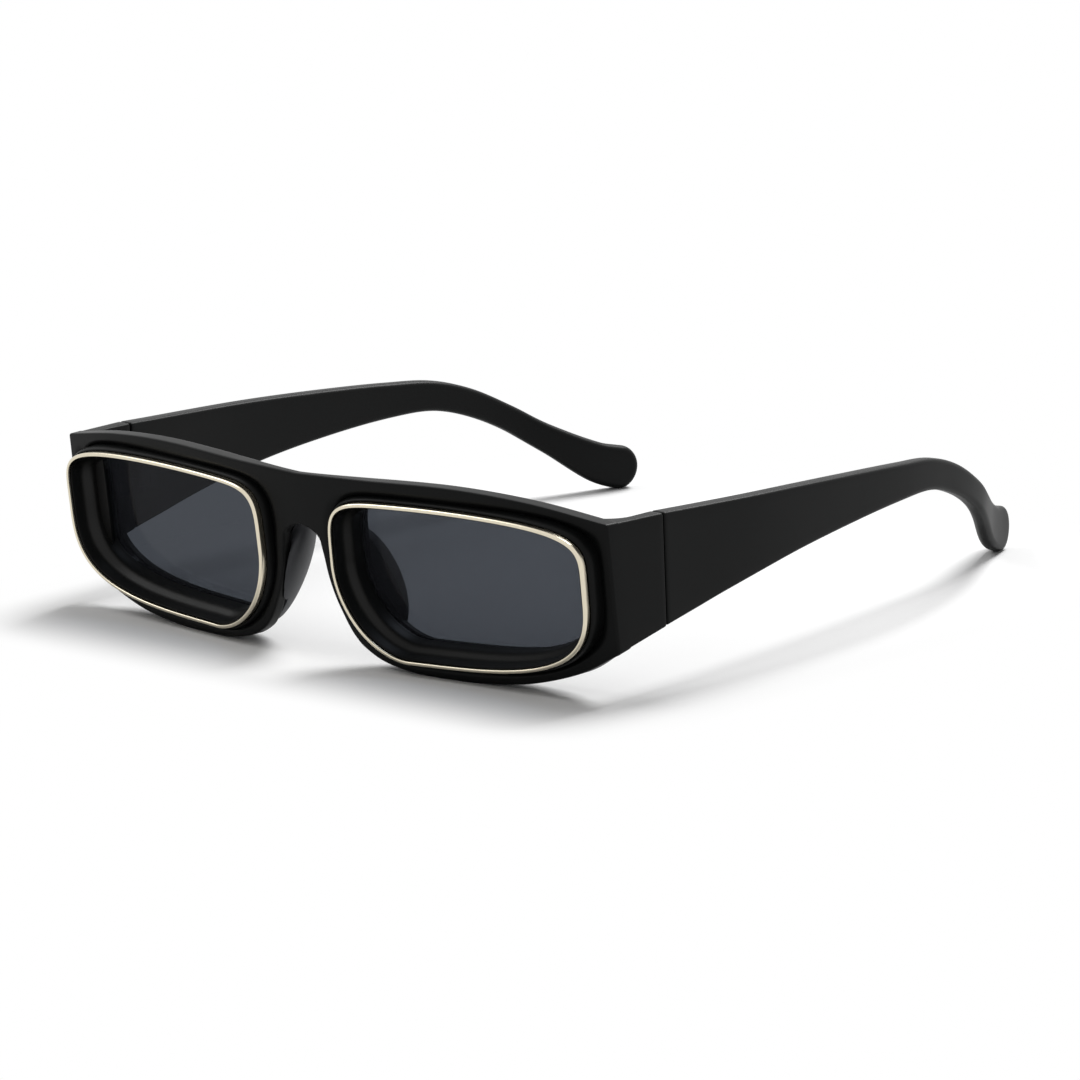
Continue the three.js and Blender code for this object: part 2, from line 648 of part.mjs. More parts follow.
function trimRing() {
  return roundEye([
    [RING_EDGE, 0],
    [RING_WIDTH - RING_EDGE, 0],
    [RING_WIDTH, RING_EDGE],
    [RING_WIDTH, RING_DEPTH],
    [0, RING_DEPTH],
    [0, RING_EDGE],
  ], true);
}

function lens() {
  const edge = -LENS_INSET + LENS_BITE;
  return roundEye([
    [edge, LENS_FRONT_DEPTH],
    [edge, LENS_FRONT_DEPTH + LENS_THICKNESS],
  ], false);
}

// Nose pad: a flattened egg that splays back and follows the nose side of the rim. It is seated
// on the rim's tower and on the back of the front, and reaches into the bridge arch
function nosePad() {
  const plate = wrappedSlab(OVERRUN, CLEARANCE).intersect(alongY(
    frontOutline(CLEARANCE),
    -FRONT_WRAP - OVERRUN,
    SEAM_Y + OVERRUN,
  ));
  const pad = new THREE.SphereGeometry(1, ...PAD_SEGMENTS).rotateX(Math.PI / 2);
  pad.scale(PAD_HALF_THICKNESS, PAD_HALF_LENGTH, PAD_HALF_HEIGHT).rotateZ(-PAD_SPLAY);
  const slope = new THREE.Matrix4().makeShear(0, 0, 0, 0, -Math.tan(PAD_SLOPE), 0);
  pad.applyMatrix4(slope).translate(PAD_CENTRE_X, PAD_CENTRE_Y, PAD_CENTRE_Z);
  return toSolid(pad)
    .subtract(plate)
    .subtract(eyeTower(CLEARANCE));
}

// Hinge leaves: a plate with barrels, built for the wearer's left side
function barrel(index, bore) {
  const z = HINGE_Z - HINGE_HALF_HEIGHT + index * BARREL_PITCH;
  const height = bore ? BARREL_HEIGHT + 2 * OVERRUN : BARREL_HEIGHT;
  const radius = bore ? HINGE_SCREW_RADIUS + SCREW_CLEARANCE : BARREL_RADIUS;
  const sides = bore ? SCREW_SIDES : BARREL_SIDES;
  const bar = new THREE.CylinderGeometry(radius, radius, height, sides).rotateX(Math.PI / 2);
  return toSolid(bar.translate(HINGE_X, SEAM_Y, z + BARREL_HEIGHT / 2));
}

function hingeLeaf(direction, firstBarrel) {
  const gap = BARREL_RADIUS + CLEARANCE;
  const [z0, z1] = [HINGE_Z - HINGE_HALF_HEIGHT, HINGE_Z + HINGE_HALF_HEIGHT];
  const near = SEAM_Y + direction * gap;
  const far = SEAM_Y + direction * LEAF_LENGTH;
  const corner = far - direction * LEAF_CORNER;
  const plate = [
    new THREE.Vector2(near, z0),
    new THREE.Vector2(corner, z0),
    new THREE.Vector2(far, z0 + LEAF_CORNER),
    new THREE.Vector2(far, z1 - LEAF_CORNER),
    new THREE.Vector2(corner, z1),
    new THREE.Vector2(near, z1),
  ];
  let leaf = alongX(plate, LEAF_OUTER_X - LEAF_THICKNESS, LEAF_OUTER_X);
  for (let index = firstBarrel; index < BARREL_COUNT; index += 2) {
    const low = z0 + index * BARREL_PITCH;
    const ends = [SEAM_Y, near + direction * LEAF_CORNER];
    leaf = leaf.add(barrel(index, false)).add(boxSolid(
      new THREE.Vector3(LEAF_OUTER_X - LEAF_THICKNESS, Math.min(...ends), low),
      new THREE.Vector3(LEAF_OUTER_X, Math.max(...ends), low + BARREL_HEIGHT),
    ));
  }
  for (let index = firstBarrel; index < BARREL_COUNT; index += 2) {
    leaf = leaf.subtract(barrel(index, true));
  }
  for (const z of leafScrewHeights()) {
    leaf = leaf.subtract(leafScrewBody(direction, z, HINGE_CLEARANCE));
  }
  return leaf;
}

// Countersunk leaf screw along +X, its head flush with the leaf
function leafScrewBody(direction, z, growth = 0) {
  const headRadius = LEAF_SCREW_HEAD_RADIUS + growth;
  const radius = LEAF_SCREW_RADIUS + growth;
  const profile = [
    new THREE.Vector2(0, -growth),
    new THREE.Vector2(headRadius, -growth),
    new THREE.Vector2(headRadius, 0),
    new THREE.Vector2(radius, LEAF_SCREW_HEAD_HEIGHT),
    new THREE.Vector2(radius, LEAF_SCREW_LENGTH),
    new THREE.Vector2(0, LEAF_SCREW_LENGTH),
  ];
  const screw = new THREE.LatheGeometry(profile, SCREW_SIDES).rotateZ(-Math.PI / 2);
  const x = LEAF_OUTER_X - LEAF_THICKNESS;
  return toSolid(screw.translate(x, SEAM_Y + direction * LEAF_SCREW_Y, z));
}

function leafScrew(direction, z) {
  const y = SEAM_Y + direction * LEAF_SCREW_Y;
  const x = LEAF_OUTER_X - LEAF_THICKNESS;
  const slot = boxSolid(
    new THREE.Vector3(x - OVERRUN, y - SCREW_SLOT_WIDTH / 2, z - LEAF_SCREW_HEAD_RADIUS),
    new THREE.Vector3(x + SCREW_SLOT_DEPTH, y + SCREW_SLOT_WIDTH / 2, z + LEAF_SCREW_HEAD_RADIUS),
  );
  return leafScrewBody(direction, z).subtract(slot);
}

// Hinge screw: head on the top barrel, shank through all five
function hingeScrew() {
  const top = HINGE_Z + HINGE_HALF_HEIGHT + HINGE_CLEARANCE;
  const bottom = HINGE_Z - HINGE_HALF_HEIGHT;
  const headTop = top + HINGE_SCREW_HEAD_HEIGHT;
  const profile = [
    new THREE.Vector2(0, bottom),
    new THREE.Vector2(HINGE_SCREW_RADIUS, bottom),
    new THREE.Vector2(HINGE_SCREW_RADIUS, top),
    new THREE.Vector2(HINGE_SCREW_HEAD_RADIUS, top),
    new THREE.Vector2(HINGE_SCREW_HEAD_RADIUS, headTop),
    new THREE.Vector2(0, headTop),
  ];
  const screw = new THREE.LatheGeometry(profile, SCREW_SIDES).rotateX(Math.PI / 2);
  const solid = toSolid(screw.translate(HINGE_X, SEAM_Y, 0));
  const reach = HINGE_SCREW_HEAD_RADIUS + OVERRUN;
  return solid.subtract(boxSolid(
    new THREE.Vector3(HINGE_X - reach, SEAM_Y - SCREW_SLOT_WIDTH / 2, headTop - SCREW_SLOT_DEPTH),
    new THREE.Vector3(HINGE_X + reach, SEAM_Y + SCREW_SLOT_WIDTH / 2, headTop + OVERRUN),
  ));
}

// Temple: rounded sections carried along the centre line
const templeCentre = smoothThrough(TEMPLE_CENTRE_SHARES);
const templeHeight = smoothThrough(TEMPLE_HEIGHT_SHARES);
const templePlan = smoothThrough(TEMPLE_PLAN_SHARES);

function templeFace(share) {
  return new THREE.Vector3(
    sideFaceX(SEAM_Y) - TIP_INSET * templePlan(share),
    SEAM_Y + TEMPLE_LENGTH * share,
    SEAM_TOP * templeCentre(share),
  );
}

// One section: a rounded rectangle of points, from its outer face inwards
function templeSection(share, height) {
  const centre = templeFace(share);
  const behind = templeFace(share + TANGENT_SHARE);
  const along = behind.sub(templeFace(share - TANGENT_SHARE)).normalize();
  const inward = new THREE.Vector3(-along.y, along.x, 0).normalize();
  const up = new THREE.Vector3().crossVectors(along, inward).normalize();
  if (up.z < 0) up.negate();
  const mix = THREE.MathUtils.lerp;
  const thickness = mix(TEMPLE_FRONT_THICKNESS, TEMPLE_TIP_THICKNESS, share);
  const edge = Math.min(mix(TEMPLE_FRONT_EDGE, TEMPLE_TIP_EDGE, share), height / 2);
  const points = [];
  const corners = [[1, 1], [-1, 1], [-1, -1], [1, -1]];
  corners.forEach(([a, b], k) => {
    for (let i = 0; i <= TEMPLE_EDGE_STEPS; i += 1) {
      const angle = Math.PI / 2 * (k + i / TEMPLE_EDGE_STEPS);
      const across = thickness / 2 + a * (thickness / 2 - edge) + edge * Math.cos(angle);
      const rise = b * (height / 2 - edge) + edge * Math.sin(angle);
      points.push(centre.clone().addScaledVector(inward, across).addScaledVector(up, rise));
    }
  });
  return points;
}

function templeSections() {
  const tipShare = TIP_RADIUS / TEMPLE_LENGTH;
  const start = -OVERRUN / TEMPLE_LENGTH;
  const sections = [];
  for (let i = 0; i <= TEMPLE_STEPS; i += 1) {
    const share = start + (1 - tipShare - start) * i / TEMPLE_STEPS;
    sections.push(templeSection(share, SEAM_HEIGHT * templeHeight(Math.max(share, 0))));
  }
  for (let i = 1; i <= TIP_STEPS; i += 1) {
    const angle = Math.PI / 2 * i / (TIP_STEPS + 1);
    const share = 1 - tipShare * (1 - Math.sin(angle));
    sections.push(templeSection(share, SEAM_HEIGHT * templeHeight(share) * Math.cos(angle)));
  }
  return sections;
}

function skinSections(sections) {
  const sides = sections[0].length;
  const tube = new THREE.CylinderGeometry(1, 1, 1, sides, sections.length - 1);
  const position = tube.attributes.position;
  const middle = (ring) => ring.reduce((sum, p) => sum.add(p), new THREE.Vector3())
    .divideScalar(sides);
  for (let i = 0; i < position.count; i += 1) {
    const [x, y, z] = [position.getX(i), position.getY(i), position.getZ(i)];
    const ring = sections[Math.round((0.5 - y) * (sections.length - 1))];
    const onAxis = Math.hypot(x, z) < 0.5;
    const turn = Math.round(Math.atan2(x, z) / (2 * Math.PI) * sides);
    const spot = onAxis ? middle(ring) : ring[(turn + sides) % sides];
    position.setXYZ(i, spot.x, spot.y, spot.z);
  }
  return toSolid(tube);
}

function temple() {
  const whole = skinSections(templeSections());
  const far = FRONT_HALF_WIDTH + SIDE_FLARE + 2 * OVERRUN;
  const ahead = [
    new THREE.Vector2(seamY(-OVERRUN) + CLEARANCE, -OVERRUN),
    new THREE.Vector2(seamY(BROW_HEIGHT) + CLEARANCE, BROW_HEIGHT + OVERRUN),
    new THREE.Vector2(-OVERRUN, BROW_HEIGHT + OVERRUN),
    new THREE.Vector2(-OVERRUN, -OVERRUN),
  ];
  return whole
    .subtract(alongX(ahead, 0, far))
    .subtract(leafPocket(1))
    .subtract(pilotHoles(1));
}

// Scene graph
const sunglasses = new THREE.Group();

function piece(name, solid, material, parent) {
  const mesh = new THREE.Mesh(toGeometry(solid), material);
  mesh.name = name;
  parent.add(mesh);
}

piece('front_frame', frontFrame(), FINISHES.front(), sunglasses);

const SIDE_PIECES = [
  ['lens', lens(), FINISHES.lens],
  ['trim_ring', trimRing(), FINISHES.ring],
  ['nose_pad', nosePad(), FINISHES.pad],
  ['front_hinge_leaf', hingeLeaf(-1, 0), FINISHES.hinge],
  ['temple_hinge_leaf', hingeLeaf(1, 1), FINISHES.hinge],
  ['hinge_screw', hingeScrew(), FINISHES.screw],
  ['temple', temple(), FINISHES.temple],
];
for (const [label, direction] of [['front', -1], ['temple', 1]]) {
  leafScrewHeights().forEach((z, i) => {
    const place = i === 0 ? 'lower' : 'upper';
    SIDE_PIECES.push([`${label}_leaf_screw_${place}`, leafScrew(direction, z), FINISHES.screw]);
  });
}
for (const [side, sign] of [['left', 1], ['right', -1]]) {
  const group = new THREE.Group();
  group.scale.x = sign;
  sunglasses.add(group);
  for (const [name, solid, material] of SIDE_PIECES) {
    piece(`${name}_${side}`, solid, material(), group);
  }
}

// The origin is the bottom centre of the whole part
const bounds = new THREE.Box3().setFromObject(sunglasses);
const centre = bounds.getCenter(new THREE.Vector3());
sunglasses.position.set(-centre.x, -centre.y, -bounds.min.z);

export default sunglasses;
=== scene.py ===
"""Square sunglasses: the dressed model, its finishes, a plain studio and the camera.

Sizes are millimetres in the part's own frame: +X is the wearer's left, the front looks along
-Y, +Z is up. Meshes are turned to metres and shifted to the frame's origin as they are made.
"""

import json
import logging
import math
from dataclasses import dataclass
from enum import Enum
from typing import Callable, Optional, Sequence

import bmesh
import bpy
import numpy as np
from mathutils import Matrix, Vector


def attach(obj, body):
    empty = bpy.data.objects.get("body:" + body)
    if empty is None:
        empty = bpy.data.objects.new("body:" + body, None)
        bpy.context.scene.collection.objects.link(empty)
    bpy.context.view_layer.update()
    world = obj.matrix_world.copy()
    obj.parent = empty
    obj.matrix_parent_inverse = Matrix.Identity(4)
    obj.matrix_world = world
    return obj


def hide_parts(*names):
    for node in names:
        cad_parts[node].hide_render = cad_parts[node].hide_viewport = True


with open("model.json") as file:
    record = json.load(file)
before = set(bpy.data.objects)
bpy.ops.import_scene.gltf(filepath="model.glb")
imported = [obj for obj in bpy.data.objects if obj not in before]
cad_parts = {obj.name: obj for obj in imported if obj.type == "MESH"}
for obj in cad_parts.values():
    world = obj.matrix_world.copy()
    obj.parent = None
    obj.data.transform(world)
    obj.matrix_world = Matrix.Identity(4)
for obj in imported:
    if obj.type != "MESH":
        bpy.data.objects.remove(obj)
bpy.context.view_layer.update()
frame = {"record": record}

LOG = logging.getLogger("sunglasses")
MM = 0.001
WELD = 0.000004
QUARTER = math.pi / 2

Table = Sequence[tuple[float, float]]
Number = float | np.ndarray
Curve = Callable[[np.ndarray], np.ndarray]
Face = Callable[[Number, Number], Number]


class Side(Enum):
    """The wearer's side that a piece sits on."""

    LEFT = "left"
    RIGHT = "right"

    @property
    def arm(self) -> str:
        """The frame's body for this side's temple."""
        return f"temple_{self.value}_arm"


class Way(Enum):
    """Which way from the seam a hinge leaf lies: on the front, or on the temple."""

    FORWARD = -1
    BACKWARD = 1


class Axis(Enum):
    """Axis of a turned solid."""

    X = 0
    Z = 2


class Fold(Enum):
    """How a solid is joined with another."""

    UNION = "UNION"
    DIFFERENCE = "DIFFERENCE"


@dataclass(frozen=True)
class Front:
    """Wrapped front face, brow line, side faces and seam of the moulded front."""

    half_width: float = 72.5
    corner_y: float = 7.56
    wrap: float = 9.2
    wrap_power: float = 1.8
    tilt: float = math.radians(6.7)
    thickness: float = 3.7
    bridge_thickness: float = 2.2
    bridge_half_width: float = 24.0
    brow_height: float = 39.5
    brow_drop: float = 3.8
    bridge_band: float = 10.8
    seam_y: float = 23.6
    seam_drop: float = 0.2
    seam_height: float = 22.7
    seam_lean: float = math.radians(1.7)
    side_flare: float = 1.1
    low_corner_z: float = 9.6
    wall: float = 3.4
    clearance: float = 0.3
    brow_shares: Table = ((0, 0.69), (0.22, 0.83), (0.52, 1), (0.77, 0.71), (1, 0))

    @property
    def corner_z(self) -> float:
        """Height of the outer upper corner."""
        return self.brow_height - self.brow_drop

    @property
    def seam_top(self) -> float:
        """Top of the seam between front and temple."""
        return self.corner_z - self.seam_drop

    @property
    def seam_bottom(self) -> float:
        """Bottom of the seam."""
        return self.seam_top - self.seam_height

    @property
    def run(self) -> float:
        """Length of the side face from corner to seam."""
        return self.seam_y - self.corner_y

    def face_y(self, x: Number, z: Number) -> Number:
        """Place of the front face at each x and z.

        Args:
            x: places across.
            z: heights.

        Returns:
            Places along Y.
        """
        bend = self.wrap * (np.abs(x) / self.half_width) ** self.wrap_power
        lean = (self.corner_z - z) * math.tan(self.tilt)
        return self.corner_y - self.wrap + bend + lean

    def thick(self, x: Number) -> Number:
        """Thickness of the plate at each x."""
        share = smoothstep(np.abs(x) / self.bridge_half_width)
        return self.bridge_thickness + share * (self.thickness - self.bridge_thickness)

    def back_y(self, x: Number, z: Number) -> Number:
        """Place of the plate's back face at each x and z."""
        return self.face_y(x, z) + self.thick(x)

    def brow_z(self, x: Number) -> Number:
        """Height of the brow line at each x."""
        share = smooth_through(self.brow_shares)(np.abs(x) / self.half_width)
        return self.corner_z + self.brow_drop * share

    def side_x(self, y: Number) -> Number:
        """Outer side face at each y."""
        return self.half_width + self.side_flare * (y - self.corner_y) / self.run

    def seam_at(self, z: Number) -> Number:
        """Place of the leaning seam at each height."""
        middle = (self.seam_top + self.seam_bottom) / 2
        return self.seam_y + (middle - z) * math.tan(self.seam_lean)

    def top_z(self, y: Number) -> Number:
        """Top of an endpiece at each y."""
        return self.corner_z - self.seam_drop * (y - self.corner_y) / self.run

    def bottom_z(self, y: Number) -> Number:
        """Underside of an endpiece at each y."""
        return self.low_corner_z + self.under_rate * (y - self.low_corner_y)

    @property
    def low_corner_y(self) -> float:
        """Front face at the outer lower corner."""
        return self.face_y(self.half_width, self.low_corner_z)

    @property
    def under_rate(self) -> float:
        """Rise of the underside for each millimetre towards the seam."""
        rise = self.seam_bottom - self.low_corner_z
        return rise / (self.seam_at(self.seam_bottom) - self.low_corner_y)

    @property
    def arch_top(self) -> float:
        """Top of the nose arch."""
        return self.brow_z(0.0) - self.bridge_band

    @property
    def inner_x(self) -> float:
        """Inner face of an endpiece at the seam."""
        return self.side_x(self.seam_y) - self.wall


FRONT = Front()
SEAM_PLACE = frame["record"]["behaviour"]["joints"][0]["pos_m"][1] / MM
SHIFT = np.array([0.0, SEAM_PLACE - FRONT.seam_y, 0.0])


def smoothstep(value: Number) -> Number:
    """Smooth share from 0 to 1."""
    share = np.clip(value, 0, 1)
    return share * share * (3 - 2 * share)


def smooth_through(places: Table) -> Curve:
    """A smooth curve through named places.

    Args:
        places: pairs of place and value, in rising order.

    Returns:
        A function from places to values.
    """
    table = np.array(places, float)
    before = np.maximum(np.arange(len(table)) - 1, 0)
    after = np.minimum(np.arange(len(table)) + 1, len(table) - 1)
    slope = (table[after, 1] - table[before, 1]) / (table[after, 0] - table[before, 0])

    def curve(place: np.ndarray) -> np.ndarray:
        """Value of the curve at each place.

        Args:
            place: places along the table.

        Returns:
            Values there.
        """
        at = np.clip(np.searchsorted(table[:, 0], place, side="right") - 1, 0, len(table) - 2)
        span = table[at + 1, 0] - table[at, 0]
        t = (place - table[at, 0]) / span
        rise = (3 - 2 * t) * t * t
        start = t * (1 - t) ** 2 * span * slope[at]
        end = (t - 1) * t * t * span * slope[at + 1]
        return table[at, 1] * (1 - rise) + start + table[at + 1, 1] * rise + end

    return curve


@dataclass(frozen=True)
class Eye:
    """Inner edge of the metal ring: four quarter superellipses in a toed, tilted plane."""

    nose_band: float = 10.15
    side_band: float = 3.6
    rim_band: float = 3.1
    brow_band: float = 5.25
    toe: float = math.radians(6.22)
    tilt: float = math.radians(6.7)
    nose_share: float = 0.279
    bottom_share: float = 0.603
    crown_share: float = 0.0596
    slant_share: float = 0.033
    powers: tuple[float, float, float, float] = (6.7, 5.5, 1.85, 2.8)
    proud: float = 2.1
    columns: int = 400
    samples: int = 20000
    spots: int = 4000
    chord: int = 6
    turn_length: float = 11.0

    @property
    def reaches(self) -> tuple[float, float, float, float]:
        """Reach towards temple, nose, top and bottom.

        Returns:
            The four reaches in millimetres.
        """
        width = (FRONT.half_width - self.nose_band - self.side_band) / math.cos(self.toe)
        height = (FRONT.brow_height - self.brow_band - self.rim_band) / math.cos(self.tilt)
        nose, bottom = self.nose_share * width, self.bottom_share * height
        return width - nose, nose, height - bottom, bottom

    @property
    def pole(self) -> np.ndarray:
        """Place of the outline's pole.

        Returns:
            The place in the part's frame.
        """
        _, nose, _, bottom = self.reaches
        x = self.nose_band + nose * math.cos(self.toe)
        z = self.rim_band + bottom * math.cos(self.tilt)
        return np.array([x, FRONT.face_y(x, z) - self.proud, z])

    def quarter(self, across: Number, up: Number) -> tuple[Number, Number, Number]:
        """Reach across, reach up and power of the quarter that a direction points into.

        Args:
            across: direction across, towards the temple.
            up: direction up.

        Returns:
            Both reaches and the power.
        """
        temple, nose, top, bottom = self.reaches
        top_temple, top_nose, bottom_nose, bottom_temple = self.powers
        upper = np.where(across >= 0, top_temple, top_nose)
        lower = np.where(across >= 0, bottom_temple, bottom_nose)
        return (np.where(across >= 0, temple, nose), np.where(up >= 0, top, bottom),
                np.where(up >= 0, upper, lower))

    def rise(self, u: Number) -> Number:
        """How far the slant and the crown lift the outline at each place across."""
        temple = self.reaches[0]
        return self.slant_share * u - self.crown_share * temple * (u / temple) ** 2

    def points(self, turn: np.ndarray) -> np.ndarray:
        """Outline points (across, up) at each angle.

        Args:
            turn: angles about the pole.

        Returns:
            One row for each angle.
        """
        c, s = np.cos(turn), np.sin(turn)
        across, up, power = self.quarter(c, s)
        u = across * np.sign(c) * np.abs(c) ** (2 / power)
        v = up * np.sign(s) * np.abs(s) ** (2 / power)
        return np.stack([u, v + self.rise(u)], -1)

    def outline(self) -> tuple[np.ndarray, np.ndarray]:
        """Columns round the eye, closer together where it turns.

        Returns:
            The outline points and their outward directions.
        """
        turn = 2 * np.pi * (np.arange(self.samples) + 0.5) / self.samples
        dense = self.points(turn)
        length = np.linalg.norm(np.roll(dense, -1, 0) - dense, axis=1)
        even = np.concatenate([[0], np.cumsum(length)])
        wrapped = np.vstack([dense, dense[:1]])
        ways = np.linspace(0, even[-1], self.spots, endpoint=False)
        spots = np.stack([np.interp(ways, even, wrapped[:, k]) for k in (0, 1)], -1)
        along = np.roll(spots, -self.chord, 0) - np.roll(spots, self.chord, 0)
        along /= np.linalg.norm(along, axis=1, keepdims=True)
        outward = np.stack([along[:, 1], -along[:, 0]], -1)
        turning = np.arccos(np.clip((outward * np.roll(outward, -1, 0)).sum(1), -1, 1))
        step = even[-1] / len(spots) + self.turn_length * turning
        measure = np.concatenate([[0], np.cumsum(step)])
        picks = np.linspace(0, measure[-1], self.columns, endpoint=False)
        closed = np.arange(len(spots) + 1)
        at = np.interp(picks, measure, closed)
        low = at.astype(int) % len(spots)
        high = (low + 1) % len(spots)
        mix = (at - np.floor(at))[:, None]
        point = spots[low] * (1 - mix) + spots[high] * mix
        facing = outward[low] * (1 - mix) + outward[high] * mix
        return point, facing / np.linalg.norm(facing, axis=1, keepdims=True)

    def place(self, offset: np.ndarray, depth: np.ndarray) -> np.ndarray:
        """Places at an offset from the outline and a depth behind the ring's front.

        Args:
            offset: outward offset for each column, or one for all.
            depth: depth for each column, or one for all.

        Returns:
            One place for each column.
        """
        point, outward = OUTLINE
        flat = point + np.broadcast_to(offset, len(point))[:, None] * outward
        depth = np.broadcast_to(depth, len(point))
        y = depth * math.cos(self.tilt) - flat[:, 1] * math.sin(self.tilt)
        z = depth * math.sin(self.tilt) + flat[:, 1] * math.cos(self.tilt)
        x = flat[:, 0] * math.cos(self.toe) - y * math.sin(self.toe)
        y = flat[:, 0] * math.sin(self.toe) + y * math.cos(self.toe)
        return np.stack([x, y, z], -1) + self.pole

    def holds(self, spot: np.ndarray, depths: tuple[float, float]) -> bool:
        """Whether a place lies inside the outline, between two depths.

        Args:
            spot: the place.
            depths: least and greatest depth.

        Returns:
            True where it does.
        """
        x, y, z = spot - self.pole
        u = x * math.cos(self.toe) + y * math.sin(self.toe)
        y = -x * math.sin(self.toe) + y * math.cos(self.toe)
        depth = y * math.cos(self.tilt) + z * math.sin(self.tilt)
        v = z * math.cos(self.tilt) - y * math.sin(self.tilt)
        if not depths[0] < depth < depths[1]:
            return False
        v -= self.rise(u)
        across, up, power = self.quarter(u, v)
        return bool((abs(u) / across) ** power + (abs(v) / up) ** power < 1)


EYE = Eye()
OUTLINE = EYE.outline()


def placed(name: str, data: bpy.types.ID) -> bpy.types.Object:
    """A new object in the scene with this mesh, lamp or camera.

    Args:
        name: name of the object.
        data: mesh, lamp or camera.

    Returns:
        The object.
    """
    made = bpy.data.objects.new(name, data)
    bpy.context.scene.collection.objects.link(made)
    return made


def make_piece(name: str, places: np.ndarray, faces: Sequence[Sequence[int]]) -> bpy.types.Object:
    """A mesh object from places in millimetres.

    Args:
        name: name of the piece.
        places: one row for each corner.
        faces: corners of each face.

    Returns:
        The object, cleaned of doubles and facing outwards.
    """
    mesh = bpy.data.meshes.new(name)
    mesh.from_pydata(((places + SHIFT) * MM).tolist(), [], [list(f) for f in faces])
    work = bmesh.new()
    work.from_mesh(mesh)
    bmesh.ops.remove_doubles(work, verts=work.verts, dist=WELD)
    loose = [v for v in work.verts if not v.link_faces]
    bmesh.ops.delete(work, geom=loose, context="VERTS")
    bmesh.ops.recalc_face_normals(work, faces=work.faces)
    work.to_mesh(mesh)
    work.free()
    return placed(name, mesh)


def grid_faces(rows: int, columns: int, wrap_rows: bool, wrap_columns: bool) -> list[list[int]]:
    """Four-sided faces of a grid whose corner (row, column) is number row * columns + column.

    Args:
        rows: rows of corners.
        columns: corners in a row.
        wrap_rows: whether the last row meets the first.
        wrap_columns: whether each row closes on itself.

    Returns:
        The faces.
    """
    faces = []
    for i in range(rows if wrap_rows else rows - 1):
        for j in range(columns if wrap_columns else columns - 1):
            k, m = (i + 1) % rows, (j + 1) % columns
            faces.append([i * columns + j, i * columns + m, k * columns + m, k * columns + j])
    return faces


def loft(name: str, rings: Sequence[np.ndarray], closed: bool) -> bpy.types.Object:
    """A skin over rings of equal count, closed on itself or capped at its ends.

    Args:
        name: name of the piece.
        rings: the rings, each closed.
        closed: whether the last ring meets the first.

    Returns:
        The closed solid.
    """
    count = len(rings[0])
    faces = grid_faces(len(rings), count, closed, True)
    if not closed:
        faces.append(list(range(count))[::-1])
        faces.append([(len(rings) - 1) * count + k for k in range(count)])
    return make_piece(name, np.concatenate(rings), faces)


def eye_rings(profile: Table) -> list[np.ndarray]:
    """Rings that run round the eye, each at one offset and depth."""
    return [EYE.place(offset, depth) for offset, depth in profile]


def around_eye(name: str, profile: Table, closed: bool) -> bpy.types.Object:
    """A profile of (offset, depth) pairs carried round the eye."""
    return loft(name, eye_rings(profile), closed)


def box_solid(name: str, low: Sequence[float], high: Sequence[float]) -> bpy.types.Object:
    """A cutting block between two corners, in millimetres.

    Args:
        name: name of the block.
        low: its low corner.
        high: its high corner.

    Returns:
        The block.
    """
    corners = [[(low, high)[(k >> a) & 1][a] for a in range(3)] for k in range(8)]
    faces = [[0, 1, 3, 2], [4, 6, 7, 5], [0, 4, 5, 1], [2, 3, 7, 6], [0, 2, 6, 4], [1, 5, 7, 3]]
    return make_piece(name, np.array(corners, float), faces)


def turned(name: str, profile: Table, axis: Axis, centre: Sequence[float], sides: int
           ) -> bpy.types.Object:
    """A turned solid.

    Args:
        name: name of the piece.
        profile: pairs of radius and place along the axis, starting and ending on the axis.
        axis: the axis that it is turned about.
        centre: a place on the axis, in millimetres.
        sides: how many sides the turned surface has.

    Returns:
        The closed solid.
    """
    turn = 2 * np.pi * np.arange(sides) / sides
    rings = []
    for radius, along in profile:
        ring = np.zeros((sides, 3))
        ring[:, (axis.value + 1) % 3] = radius * np.cos(turn)
        ring[:, (axis.value + 2) % 3] = radius * np.sin(turn)
        ring[:, axis.value] = along
        rings.append(ring + np.array(centre))
    return loft(name, rings, False)


def settle(piece: bpy.types.Object) -> None:
    """Applies a piece's modifiers to its mesh.

    Args:
        piece: the piece.
    """
    ready = piece.evaluated_get(bpy.context.evaluated_depsgraph_get())
    mesh = bpy.data.meshes.new_from_object(ready)
    old = piece.data
    piece.modifiers.clear()
    piece.data = mesh
    bpy.data.meshes.remove(old)


def combine(piece: bpy.types.Object, tools: Sequence[bpy.types.Object], fold: Fold) -> None:
    """Unites a solid with others, or cuts them from it; the others are used up.

    Args:
        piece: the solid that stays.
        tools: the solids that are joined or cut.
        fold: what is done.
    """
    for tool in tools:
        step = piece.modifiers.new("join", "BOOLEAN")
        step.operation = fold.value
        step.solver = "EXACT"
        step.object = tool
        settle(piece)
        bpy.data.objects.remove(tool)


def soften(piece: bpy.types.Object, width: float, steps: int = 2, sharp: float = 40.0) -> None:
    """Rounds a piece's sharp edges by a width.

    Args:
        piece: the piece.
        width: width of the rounding in millimetres.
        steps: faces across the rounding.
        sharp: angle in degrees above which an edge is rounded.
    """
    step = piece.modifiers.new("round", "BEVEL")
    step.width = width * MM
    step.segments = steps
    step.limit_method = "ANGLE"
    step.angle_limit = math.radians(sharp)
    settle(piece)


def smooth(piece: bpy.types.Object, angle: float = 32.0) -> None:
    """Smooth shading with edges above an angle in degrees kept crisp.

    Args:
        piece: the piece.
        angle: the angle.
    """
    mesh = piece.data
    mesh.polygons.foreach_set("use_smooth", [True] * len(mesh.polygons))
    mesh.set_sharp_from_angle(angle=math.radians(angle))


